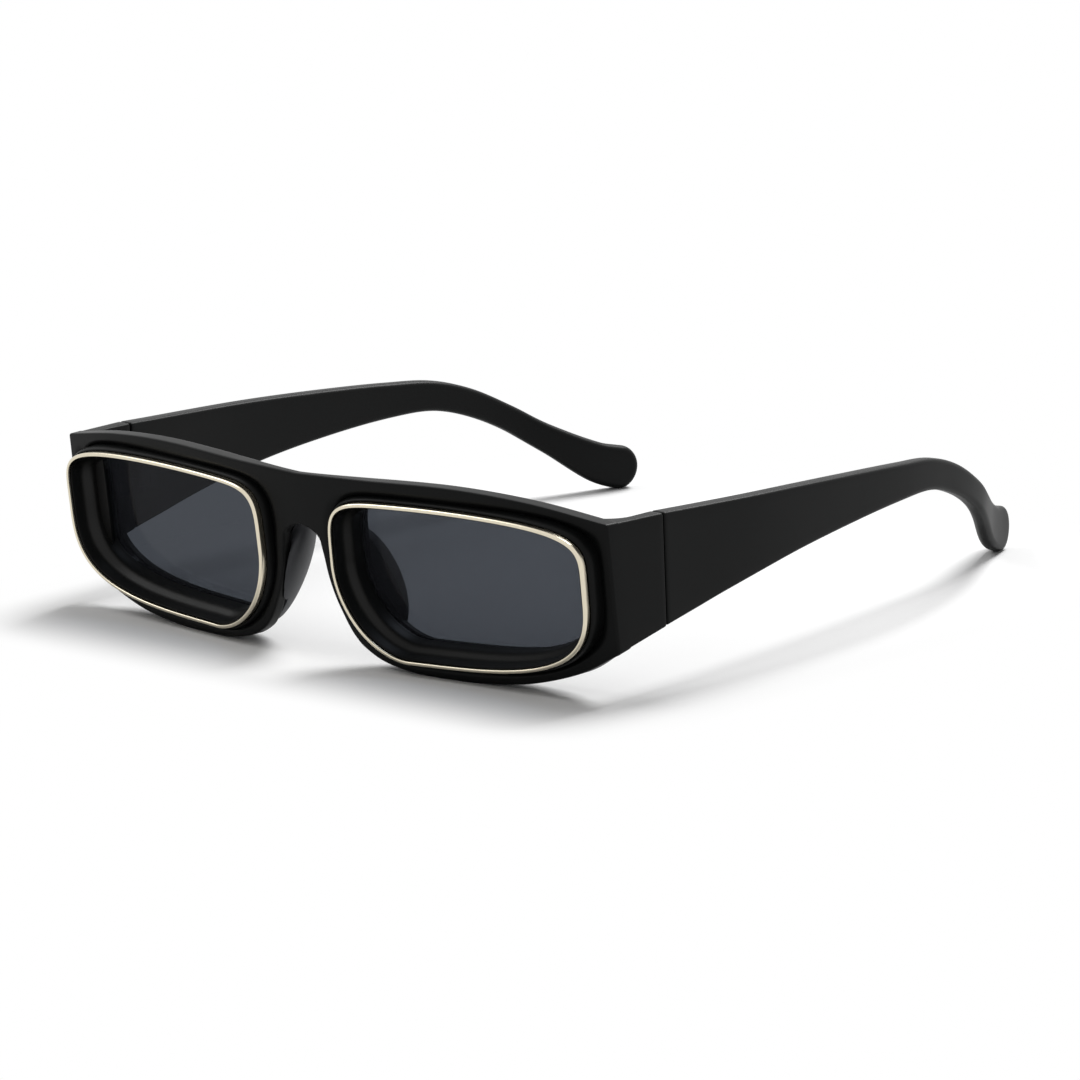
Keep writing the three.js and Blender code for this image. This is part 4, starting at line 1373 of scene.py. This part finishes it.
        return np.stack([x, place_y, z], -1)

    def build(self, palette: Palette) -> None:
        """Builds and dresses the front.

        Args:
            palette: the materials.
        """
        shell = self.shell()
        block, pocket = self.endpiece("endpiece_block"), Hinge().pocket(Way.FORWARD)
        combine(shell, [block, mirrored(block, "endpiece_block_twin")], Fold.UNION)
        combine(shell, [pocket, mirrored(pocket, "pocket_twin")], Fold.DIFFERENCE)
        smooth(shell)
        dress(shell, palette.front, "front_plastic", "front", "front_frame")
        self.rest_on_table(shell)
        self.polish(shell, palette.funnel)

    def rest_on_table(self, shell: bpy.types.Object) -> None:
        """Flattens the lowest hair of the rims where they rest, at height zero.

        Args:
            shell: the front.
        """
        for spot in shell.data.vertices:
            spot.co.z = max(spot.co.z, 0.0)
        shell.data.update()

    def polish(self, shell: bpy.types.Object, material: bpy.types.Material) -> None:
        """Gives the funnel walls inside both outlines their own finish: glossier than the front,
        with a painted warm reflection in its colour.

        Args:
            shell: the front.
            material: finish of the funnel walls.
        """
        shell.data.materials.append(material)
        for face in shell.data.polygons:
            spot = np.array(face.center) / MM - SHIFT
            spot[0] = abs(spot[0])
            if EYE.holds(spot, self.tower.funnel_reach):
                face.material_index = 1


def rounded(first: tuple[float, float], middle: tuple[float, float],
            last: tuple[float, float], steps: int = 5) -> Table:
    """Profile places that turn smoothly from one to another through a middle.

    Args:
        first: first place.
        middle: place halfway.
        last: last place.
        steps: how many places.

    Returns:
        The places.
    """
    rows = []
    for t in np.linspace(0, 1, steps):
        a, b, c = (1 - t) * (1 - 2 * t), 4 * t * (1 - t), t * (2 * t - 1)
        rows.append(tuple(a * f + b * m + c * e for f, m, e in zip(first, middle, last)))
    return rows


@dataclass
class TrimRing:
    """Metal trim ring in the collar's groove."""

    width: float = 0.8
    depth: float = 2.6
    edge: float = 0.22
    outer_edge: float = 0.5
    edge_steps: int = 7
    outer_steps: int = 9

    def build(self, palette: Palette) -> None:
        """Builds and dresses both rings.

        Args:
            palette: the materials.
        """
        rows = [(0.0, self.depth), (0.0, self.depth / 2)]
        for turn in np.linspace(0, QUARTER, self.edge_steps):
            rows.append((self.edge * (1 - math.cos(turn)), self.edge * (1 - math.sin(turn))))
        for turn in np.linspace(QUARTER, 0, self.outer_steps):
            rows.append((self.width - self.outer_edge * (1 - math.cos(turn)),
                         self.outer_edge * (1 - math.sin(turn))))
        rows += [(self.width, self.depth / 2), (self.width, self.depth)]
        ring = around_eye("trim_ring_plated_left", rows, True)
        smooth(ring)
        pair(ring, "trim_ring_plated", palette.ring, "ring_metal", "trim_ring")


@dataclass
class SmokeLenses:
    """Flat lenses, each in its seat at the bottom of a funnel."""

    offset: float = -0.75
    front: float = 8.0
    thickness: float = 2.0
    edge: float = 0.15

    def build(self, palette: Palette) -> None:
        """Builds and dresses both lenses.

        Args:
            palette: the materials.
        """
        back = self.front + self.thickness
        rows = [(self.offset - self.edge, self.front), (self.offset, self.front + self.edge),
                (self.offset, back - self.edge), (self.offset - self.edge, back)]
        lens = around_eye("smoke_lens_left", rows, False)
        smooth(lens)
        pair(lens, "smoke_lens", palette.lens, "lens_smoke", "lens")


@dataclass
class NosePads:
    """Pads that splay back along the nose side of each rim."""

    setback: float = 8.2
    height_share: float = 0.405
    half_thickness: float = 3.4
    half_length: float = 7.3
    half_height: float = 11.5
    splay: float = math.radians(32)
    slope: float = math.radians(24)
    clearance: float = 0.3
    edge: float = 0.12
    sides: int = 72
    rings: int = 44
    end_turn: float = 0.02
    arch_steps: int = 16
    # How far the cutters reach past the pad: before the face, and up and out of the plate
    ahead: float = 4.0
    far_x: float = 40.0
    far_z: float = 44.0
    # Rim places that lie beyond the pad
    rim_left_out: int = 4
    # Rounded outer corner of the tower's cutter, in from its flank and back from its back
    corner_rows: Table = ((-0.3, -0.4), (-0.18, 0.1), (0.4, 0.3))
    shoulder_shares: Sequence[float] = tuple(np.linspace(0.1, 1, 8))

    def egg(self) -> bpy.types.Object:
        """The whole pad before its seat is cut.

        Returns:
            The pad on the wearer's left.
        """
        around = 2 * np.pi * np.arange(self.sides) / self.sides
        layers = []
        limit = QUARTER - self.end_turn
        for turn in np.clip(np.linspace(-QUARTER, QUARTER, self.rings + 1), -limit, limit):
            x = self.half_thickness * math.cos(turn) * np.cos(around)
            y = self.half_length * math.cos(turn) * np.sin(around)
            z = np.full_like(x, self.half_height * math.sin(turn))
            c, s = math.cos(-self.splay), math.sin(-self.splay)
            splayed = np.stack([x * c - y * s, x * s + y * c, z], -1)
            splayed[:, 0] -= math.tan(self.slope) * z
            layers.append(splayed + self.centre())
        return loft("nose_pad_soft_left", layers, False)

    def centre(self) -> np.ndarray:
        """Middle of the pad."""
        return np.array([EYE.nose_band + self.clearance / 2, EYE.pole[1] + self.setback,
                         self.height_share * FRONT.brow_height])

    def plate_cut(self) -> bpy.types.Object:
        """The front plate with clearance, as a cutter that leaves the bridge arch free.

        Returns:
            The cutter.
        """
        front, gap = MouldedFront(), self.clearance
        turn = np.linspace(QUARTER, 0, self.arch_steps)
        arch = np.stack([(front.arch_half_width - gap) * np.cos(turn),
                         FRONT.arch_top - gap - front.arch_height * (1 - np.sin(turn))], -1)
        rim = np.array(front.rim_places[:-self.rim_left_out]) - np.array([gap, 0])
        rim = rim[rim[:, 1] < arch[-1, 1]]
        x, z = np.vstack([arch, rim, [(self.far_x, rim[-1, 1]), (self.far_x, self.far_z),
                                      (0.0, self.far_z)]]).T
        rings = [np.stack([x, y, z], -1)
                 for y in (FRONT.face_y(x, z) - self.ahead, FRONT.back_y(x, z) + gap)]
        return loft("plate_cut", rings, False)

    def build(self, palette: Palette) -> None:
        """Builds and dresses both pads.

        Args:
            palette: the materials.
        """
        pad = self.egg()
        tower = MouldedFront().tower
        flank, out = tower.flank + self.clearance, tower.low_flank
        profile = [(0.0, 0.0), (flank, 0.0), (flank, tower.shoulder_start)]
        for share in self.shoulder_shares:
            deep = tower.shoulder_start + share * (tower.shoulder_end - tower.shoulder_start)
            profile.append((flank - tower.shoulder * smoothstep(share), deep))
        profile += [(out - inward, tower.back + behind) for inward, behind in self.corner_rows]
        cut = around_eye("tower_cut", profile, False)
        combine(pad, [self.plate_cut(), cut], Fold.DIFFERENCE)
        soften(pad, self.edge)
        smooth(pad, 40)
        pair(pad, "nose_pad_soft", palette.pad, "pad_plastic", "nose_pad")


def pair(left: bpy.types.Object, stem: str, material: bpy.types.Material, slot: str, node: str,
         on_arm: bool = False) -> None:
    """Dresses a left piece and its mirror image.

    Args:
        left: the piece on the wearer's left.
        stem: name without its side.
        material: finish of both.
        slot: the record's material slot.
        node: solid that they replace, without its side.
        on_arm: whether they ride on the temples rather than on the front.
    """
    right = mirrored(left, f"{stem}_{Side.RIGHT.value}")
    for piece, side in ((left, Side.LEFT), (right, Side.RIGHT)):
        body = side.arm if on_arm else "front"
        dress(piece, material, slot, body, f"{node}_{side.value}")


@dataclass
class Temples:
    """Hooked temples: deep at the seam, tapering, then down to a paddle tip."""

    length: float = 140.6
    tip_length: float = 4.2
    thickness: tuple[float, float] = (3.4, 3.5)
    edges: tuple[float, float] = (0.55, 1.4)
    tip_inset: float = 21.0
    seam_edge: float = 0.35
    sections: int = 190
    tip_sections: int = 26
    seam_sections: int = 5
    tip_end: float = 0.05
    chord: float = 0.002
    seam_share: float = 0.08
    edge_steps: int = 8
    side_steps: int = 9
    least_half: float = 0.01
    centre_shares: Table = (
        (0, 0.682), (0.127, 0.724), (0.283, 0.762), (0.437, 0.775), (0.564, 0.77),
        (0.649, 0.748), (0.72, 0.669), (0.792, 0.535), (0.862, 0.363), (0.93, 0.192),
        (0.965, 0.1419), (1, 0.115),
    )
    height_shares: Table = (
        (0, 1), (0.127, 0.797), (0.283, 0.59), (0.437, 0.436), (0.564, 0.335), (0.649, 0.29),
        (0.72, 0.27), (0.792, 0.25), (0.862, 0.28), (0.93, 0.39), (0.965, 0.425), (1, 0.425),
    )
    plan_shares: Table = (
        (0, 0), (0.24, -0.04), (0.495, 0.05), (0.67, 0.2), (0.812, 0.42), (0.918, 0.78), (1, 1),
    )

    def face(self, share: float) -> np.ndarray:
        """Centre line of the outer face at a share of the length.

        Args:
            share: the share.

        Returns:
            The place.
        """
        return np.array([
            FRONT.side_x(FRONT.seam_y) - self.tip_inset * smooth_through(self.plan_shares)(share),
            FRONT.seam_y + self.length * share,
            FRONT.seam_top * smooth_through(self.centre_shares)(share),
        ])

    def section(self, share: float, toward_tip: float, inset: float) -> np.ndarray:
        """One section.

        Args:
            share: its place as a share of the length.
            toward_tip: 0 before the rounded tip, up to 1 at its end.
            inset: how far its outline is drawn in.

        Returns:
            The section's places.
        """
        along = self.face(share + self.chord) - self.face(share - self.chord)
        along /= np.linalg.norm(along)
        inward = np.array([-along[1], along[0], 0.0])
        inward /= np.linalg.norm(inward)
        up = np.cross(along, inward)
        up /= np.linalg.norm(up)
        full = FRONT.seam_height * smooth_through(self.height_shares)(share)
        shrink = math.sqrt(max(1 - toward_tip ** 2, 0))
        half = full / 2 * shrink - inset
        thick = self.thickness[0] + (self.thickness[1] - self.thickness[0]) * share
        edge = self.edges[0] + (self.edges[1] - self.edges[0]) * share - inset / 2
        turns = np.linspace(0, QUARTER, self.edge_steps)
        near = 1 - np.minimum(edge * (1 - np.cos(turns)) / max(half, self.least_half), 1)
        flat = np.linspace(near[-1], -near[-1], self.side_steps)[1:-1]
        heights = np.concatenate([near, flat, -near[::-1]])
        rho = np.sqrt(toward_tip ** 2 + heights ** 2 * (1 - toward_tip ** 2))
        local = full / 2 if toward_tip == 0 else (full / 2 + self.tip_length) / 2
        gap = np.clip((1 - rho) * local, 0, edge)
        width = thick / 2 - edge + np.sqrt(np.maximum(edge ** 2 - (edge - gap) ** 2, 0)) - inset
        middle = self.face(share) + inward * thick / 2 + up * (heights * half)[:, None]
        across = inward * width[:, None]
        ring = np.vstack([middle - across, (middle + across)[::-1]])
        near_seam = 1 - smoothstep(share / self.seam_share)
        ring[:, 1] += near_seam * (FRONT.seam_at(ring[:, 2]) + share * self.length - ring[:, 1])
        return ring

    def build(self, palette: Palette) -> None:
        """Builds and dresses both temples.

        Args:
            palette: the materials.
        """
        rings = []
        for turn in np.linspace(QUARTER, 0, self.seam_sections):
            inset = self.seam_edge * (1 - math.cos(turn))
            y = FRONT.clearance + self.seam_edge * (1 - math.sin(turn))
            rings.append(self.section(y / self.length, 0.0, inset))
        start = (FRONT.clearance + self.seam_edge) / self.length
        tip = 1 - self.tip_length / self.length
        for share in np.linspace(start, tip, self.sections)[1:]:
            rings.append(self.section(share, 0.0, 0.0))
        for turn in np.linspace(0, QUARTER - self.tip_end, self.tip_sections)[1:]:
            reach = math.sin(turn)
            rings.append(self.section(tip + (1 - tip) * reach, reach, 0.0))
        temple = loft("temple_arm_left", rings, False)
        combine(temple, [Hinge().pocket(Way.BACKWARD)], Fold.DIFFERENCE)
        smooth(temple)
        pair(temple, "temple_arm", palette.temple, "temple_plastic", "temple", True)


@dataclass
class Hinge:
    """Five-barrel hinge: two screwed leaves and a slotted pivot screw."""

    barrel_radius: float = 1.5
    barrel_height: float = 1.6
    barrels: int = 5
    rise: float = 0.85
    gap: float = 0.15
    leaf_thickness: float = 0.8
    leaf_length: float = 7.0
    leaf_corner: float = 0.8
    recess: float = 0.5
    screw_y: float = 4.6
    screw_spread: float = 4.4
    pivot_radius: float = 0.6
    pivot_head: tuple[float, float] = (1.15, 0.6)
    screw_radius: float = 0.5
    screw_head: tuple[float, float] = (0.95, 0.45)
    screw_length: float = 2.4
    slot: tuple[float, float] = (0.3, 0.25)
    edge: float = 0.07
    reach: float = 3.0
    bore_gap: float = 0.1
    screw_edge: float = 0.06
    pivot_edge: float = 0.08
    # Rounding of the pivot's head, as distance in from its rim and down from its top
    head_rows: Table = ((0.0, 0.2), (0.08, 0.06), (0.25, 0.0))
    # Cutters and joined solids reach this far past a face, or stay this far within it
    past: float = 1.0
    slot_reach: tuple[float, float] = (1.2, 2.0)
    tuck: float = 0.004
    # Radius at which a turned solid closes on its axis
    tip: float = 0.001
    corner_steps: int = 7
    barrel_sides: int = 48
    screw_sides: int = 40
    sharp: float = 40.0
    screw_sharp: float = 30.0

    @property
    def middle_z(self) -> float:
        """Middle height of the barrels."""
        return (FRONT.seam_top + FRONT.seam_bottom) / 2 + self.rise

    @property
    def leaf_x(self) -> float:
        """Outer face of a leaf, on its pocket's floor."""
        return FRONT.inner_x + self.recess - self.gap

    @property
    def face_x(self) -> float:
        """Inner face of a leaf, where its screws' heads lie."""
        return self.leaf_x - self.leaf_thickness

    @property
    def axis_x(self) -> float:
        """The pivot's place."""
        return self.leaf_x - self.barrel_radius

    @property
    def pitch(self) -> float:
        """Height from one barrel to the next."""
        return self.barrel_height + self.gap

    @property
    def half_height(self) -> float:
        """Half the height of all the barrels."""
        return (self.barrels * self.pitch - self.gap) / 2

    def pocket(self, way: Way) -> bpy.types.Object:
        """Pocket for a leaf, forward or backward of the seam.

        Args:
            way: which way the pocket lies from the seam.

        Returns:
            The cutter.
        """
        ends = sorted((FRONT.seam_y - way.value * self.reach,
                       FRONT.seam_y + way.value * (self.leaf_length + FRONT.clearance)))
        tall = self.half_height + FRONT.clearance
        return box_solid("leaf_pocket",
                         (FRONT.inner_x - 2 * self.reach, ends[0], self.middle_z - tall),
                         (FRONT.inner_x + self.recess, ends[1], self.middle_z + tall))

    def barrel(self, index: int, bore: bool) -> bpy.types.Object:
        """One barrel, or the bore through it.

        Args:
            index: number of the barrel, from the lowest.
            bore: whether the bore is made.

        Returns:
            The solid.
        """
        low = self.middle_z - self.half_height + index * self.pitch
        high = low + self.barrel_height
        if bore:
            radius = self.pivot_radius + self.bore_gap
            rows = [(self.tip, low - self.past), (radius, low - self.past),
                    (radius, high + self.past), (self.tip, high + self.past)]
        else:
            radius, e = self.barrel_radius, self.edge
            rows = [(self.tip, low), (radius - e, low), (radius, low + e), (radius, high - e),
                    (radius - e, high), (self.tip, high)]
        place = (self.axis_x, FRONT.seam_y, 0)
        return turned("barrel", rows, Axis.Z, place, self.barrel_sides)

    def leaf(self, way: Way, first: int, name: str) -> bpy.types.Object:
        """A leaf with its barrels, bores and countersinks.

        Args:
            way: which way the leaf lies from the seam.
            first: lowest barrel that belongs to it.
            name: name of the piece.

        Returns:
            The leaf on the wearer's left.
        """
        z0, z1 = self.middle_z - self.half_height, self.middle_z + self.half_height
        near = FRONT.seam_y + way.value * (self.barrel_radius + FRONT.clearance)
        far = FRONT.seam_y + way.value * self.leaf_length
        arc = []
        for cz, start in ((z0 + self.leaf_corner, -1), (z1 - self.leaf_corner, 0)):
            for turn in np.linspace(0, QUARTER, self.corner_steps):
                angle = QUARTER * start + turn
                y = far - way.value * self.leaf_corner * (1 - math.cos(angle))
                arc.append((y, cz + self.leaf_corner * math.sin(angle)))
        flat = np.array([(near, z0)] + arc + [(near, z1)])
        rings = [np.stack([np.full(len(flat), x), flat[:, 0], flat[:, 1]], -1)
                 for x in (self.face_x, self.leaf_x)]
        leaf = loft(name, rings, False)
        parts = []
        ends = sorted((FRONT.seam_y, near + way.value * self.leaf_corner))
        for index in range(first, self.barrels, 2):
            low = z0 + index * self.pitch + self.tuck
            high = low + self.barrel_height - 2 * self.tuck
            parts.append(self.barrel(index, False))
            parts.append(box_solid("tongue", (self.face_x + self.tuck, ends[0], low),
                                   (self.leaf_x - self.tuck, ends[1], high)))
        combine(leaf, parts, Fold.UNION)
        cuts = [self.barrel(index, True) for index in range(first, self.barrels, 2)]
        cuts += [self.screw_body(way, z, self.gap) for z in self.screw_heights()]
        combine(leaf, cuts, Fold.DIFFERENCE)
        soften(leaf, self.edge)
        smooth(leaf, self.sharp)
        return leaf

    def screw_heights(self) -> tuple[float, float]:
        """Heights of a leaf's two screws."""
        return self.middle_z - self.screw_spread / 2, self.middle_z + self.screw_spread / 2

    def screw_body(self, way: Way, z: float, growth: float) -> bpy.types.Object:
        """A countersunk leaf screw along X, or its hole when grown.

        Args:
            way: which way its leaf lies from the seam.
            z: its height.
            growth: clearance all round, 0 for the screw.

        Returns:
            The solid.
        """
        head, head_deep = self.screw_head
        x, hole = self.face_x, growth > 0
        shaft, e = self.screw_radius + growth, 0.0 if hole else self.screw_edge
        rows = [(self.tip, x - growth), (head + growth - e, x - growth), (head + growth, x + e),
                (shaft, x + head_deep), (shaft, x + self.screw_length),
                (self.tip, x + self.screw_length)]
        place = (0, FRONT.seam_y + way.value * self.screw_y, z)
        return turned("leaf_screw", rows, Axis.X, place, self.screw_sides)

    def leaf_screw(self, way: Way, z: float, name: str) -> bpy.types.Object:
        """A slotted leaf screw.

        Args:
            way: which way its leaf lies from the seam.
            z: its height.
            name: name of the screw.

        Returns:
            The screw.
        """
        screw = self.screw_body(way, z, 0)
        screw.name = name
        width, deep = self.slot
        y, reach = FRONT.seam_y + way.value * self.screw_y, self.slot_reach[0]
        cut = box_solid("slot", (self.face_x - self.past, y - width / 2, z - reach),
                        (self.face_x + deep, y + width / 2, z + reach))
        combine(screw, [cut], Fold.DIFFERENCE)
        smooth(screw, self.screw_sharp)
        return screw

    def pivot(self) -> bpy.types.Object:
        """The slotted pivot screw.

        Returns:
            The screw.
        """
        low = self.middle_z - self.half_height
        top = self.middle_z + self.half_height + self.gap
        head, deep = self.pivot_head
        r, e, end = self.pivot_radius, self.pivot_edge, top + deep
        rows = [(self.tip, low), (r - e, low), (r, low + e), (r, top), (head - e, top),
                (head, top + e)]
        rows += [(head - inward, end - down) for inward, down in self.head_rows]
        rows.append((self.tip, end))
        place = (self.axis_x, FRONT.seam_y, 0)
        screw = turned("pivot_screw_left", rows, Axis.Z, place, self.barrel_sides)
        (width, cut_deep), reach = self.slot, self.slot_reach[1]
        cut = box_solid("slot", (self.axis_x - reach, FRONT.seam_y - width / 2, end - cut_deep),
                        (self.axis_x + reach, FRONT.seam_y + width / 2, end + self.past))
        combine(screw, [cut], Fold.DIFFERENCE)
        smooth(screw, self.screw_sharp)
        return screw

    def build(self, palette: Palette) -> None:
        """Builds and dresses leaves and screws on both sides.

        Args:
            palette: the materials.
        """
        front_leaf = self.leaf(Way.FORWARD, 0, "front_leaf_left")
        pair(front_leaf, "front_leaf", palette.hinge, "hinge_steel", "front_hinge_leaf")
        temple_leaf = self.leaf(Way.BACKWARD, 1, "temple_leaf_left")
        pair(temple_leaf, "temple_leaf", palette.hinge, "hinge_steel", "temple_hinge_leaf", True)
        pair(self.pivot(), "pivot_screw", palette.screw, "screw_steel", "hinge_screw")
        for stem, way in (("front", Way.FORWARD), ("temple", Way.BACKWARD)):
            for level, z in zip(("lower", "upper"), self.screw_heights()):
                name = f"{stem}_countersunk_screw_{level}"
                screw = self.leaf_screw(way, z, f"{name}_left")
                pair(screw, name, palette.screw, "screw_steel", f"{stem}_leaf_screw_{level}",
                     way is Way.BACKWARD)


@dataclass(frozen=True)
class Camera:
    """The photograph's viewpoint, solved from the rims' mirror symmetry."""

    azimuth: float = 40.955
    elevation: float = 12.829
    roll: float = -0.987
    place: tuple[float, float, float] = (794.53, -843.77, 287.29)
    focal: float = 200.0
    sensor: float = 36.0
    clip_end: float = 20.0

    def build(self) -> None:
        """Adds the camera and makes it the scene's."""
        a, e, r = (math.radians(v) for v in (self.azimuth, self.elevation, self.roll))
        back = Vector((math.sin(a) * math.cos(e), -math.cos(a) * math.cos(e), math.sin(e)))
        right = (-back).cross(Vector((0, 0, 1))).normalized()
        up = right.cross(-back)
        across = math.cos(r) * right + math.sin(r) * up
        upward = -math.sin(r) * right + math.cos(r) * up
        data = bpy.data.cameras.new("photo_camera")
        data.lens, data.sensor_width, data.clip_end = self.focal, self.sensor, self.clip_end
        camera = placed("photo_camera", data)
        turn = Matrix((across, upward, back)).transposed().to_4x4()
        turn.translation = Vector((np.array(self.place) + SHIFT) * MM)
        camera.matrix_world = turn
        bpy.context.scene.camera = camera


@dataclass(frozen=True)
class Studio:
    """Plain white floor and surround, with a broad soft key light behind and a weak side one."""

    floor_size: float = 4.0
    floor_colour: str = "#fafafa"
    surround: str = "#ffffff"
    fill: float = 0.27
    shadow_reach: tuple[float, float] = (0.06, 0.07)
    fade: tuple[float, float] = (0.01, 0.038)
    paper_roughness: float = 0.9
    paper_specular: float = 0.1
    # Height in metres that the lamps look at
    aim: float = 0.02
    # Name, place and side in metres, and power in watts of each lamp
    lamps: Sequence[tuple] = (
        ("key_panel", (-0.05, 0.75, 0.95), 0.5, 14.0),
        ("side_panel", (-0.65, -0.3, 0.75), 0.5, 2.0),
    )

    def floor(self) -> None:
        """Adds the floor: white to the camera, with the object's soft shadow."""
        half = self.floor_size / 2
        corners = [(-half, -half, 0), (half, -half, 0), (half, half, 0), (-half, half, 0)]
        mesh = bpy.data.meshes.new("studio_floor")
        mesh.from_pydata(corners, [], [range(len(corners))])
        mesh.materials.append(self.paper())
        placed("studio_floor", mesh)

    def paper(self) -> bpy.types.Material:
        """White paper that keeps the shadow near the object and fades to the white surround.

        Returns:
            The material.
        """
        paper = blank(bpy.data.materials.new("white_studio_paper"))
        place = add_node(paper, "ShaderNodeTexCoord").outputs["Object"]
        spread = add_node(paper, "ShaderNodeVectorMath", None, {0: place}, operation="ABSOLUTE")
        past = add_node(paper, "ShaderNodeVectorMath", {1: (*self.shadow_reach, 0)},
                        {0: spread.outputs["Vector"]}, operation="SUBTRACT")
        outside = add_node(paper, "ShaderNodeVectorMath", {1: (0, 0, 0)},
                           {0: past.outputs["Vector"]}, operation="MAXIMUM")
        far = add_node(paper, "ShaderNodeVectorMath", None, {0: outside.outputs["Vector"]},
                       operation="LENGTH")
        near, end = self.fade
        fade = add_node(paper, "ShaderNodeMapRange", {"From Min": near, "From Max": end},
                        {"Value": far.outputs["Value"]}, interpolation_type="SMOOTHSTEP")
        share = add_node(paper, "ShaderNodeMath", None, {
            0: fade.outputs["Result"], 1: seen_rays(paper)}, operation="MULTIPLY")
        matte = add_node(paper, "ShaderNodeBsdfPrincipled", {
            "Base Color": linear(self.floor_colour), "Roughness": self.paper_roughness,
            "Specular IOR Level": self.paper_specular})
        white = add_node(paper, "ShaderNodeEmission", {"Color": (1, 1, 1, 1), "Strength": 1.0})
        blend(paper, matte.outputs["BSDF"], white.outputs["Emission"], share.outputs["Value"],
              "ShaderNodeOutputMaterial")
        return paper

    def surround_world(self) -> None:
        """World: white to the camera, to mirrors and through glass; a plain grey fill else."""
        world = blank(bpy.data.worlds.new("studio_surround"))
        bpy.context.scene.world = world
        fill = add_node(world, "ShaderNodeBackground", {
            "Color": linear(self.surround), "Strength": self.fill})
        white = add_node(world, "ShaderNodeBackground", {"Color": (1, 1, 1, 1), "Strength": 1.0})
        blend(world, fill.outputs["Background"], white.outputs["Background"], seen_rays(world),
              "ShaderNodeOutputWorld")

    def lamp(self, name: str, place: tuple[float, float, float], size: float, power: float
             ) -> None:
        """A soft square panel that looks at the object.

        Args:
            name: name of the lamp.
            place: its place in metres.
            size: side of the panel in metres.
            power: power in watts.
        """
        data = bpy.data.lights.new(name, "AREA")
        data.shape, data.size, data.energy = "SQUARE", size, power
        lamp = placed(name, data)
        lamp.location = place
        away = Vector(place) - Vector((0, 0, self.aim))
        lamp.rotation_euler = away.to_track_quat("Z", "Y").to_euler()

    def build(self) -> None:
        """Adds floor, surround and lamps."""
        self.floor()
        self.surround_world()
        for lamp in self.lamps:
            self.lamp(*lamp)
        bpy.context.scene.view_settings.view_transform = "Standard"


def main() -> None:
    """Builds the sunglasses, the studio and the camera."""
    logging.basicConfig(level=logging.INFO, format="%(message)s")
    palette = Palette()
    for part in (MouldedFront(), TrimRing(), SmokeLenses(), NosePads(), Temples(), Hinge()):
        part.build(palette)
        LOG.info("built %s", type(part).__name__)
    Studio().build()
    Camera().build()


if __name__ == "__main__":
    main()
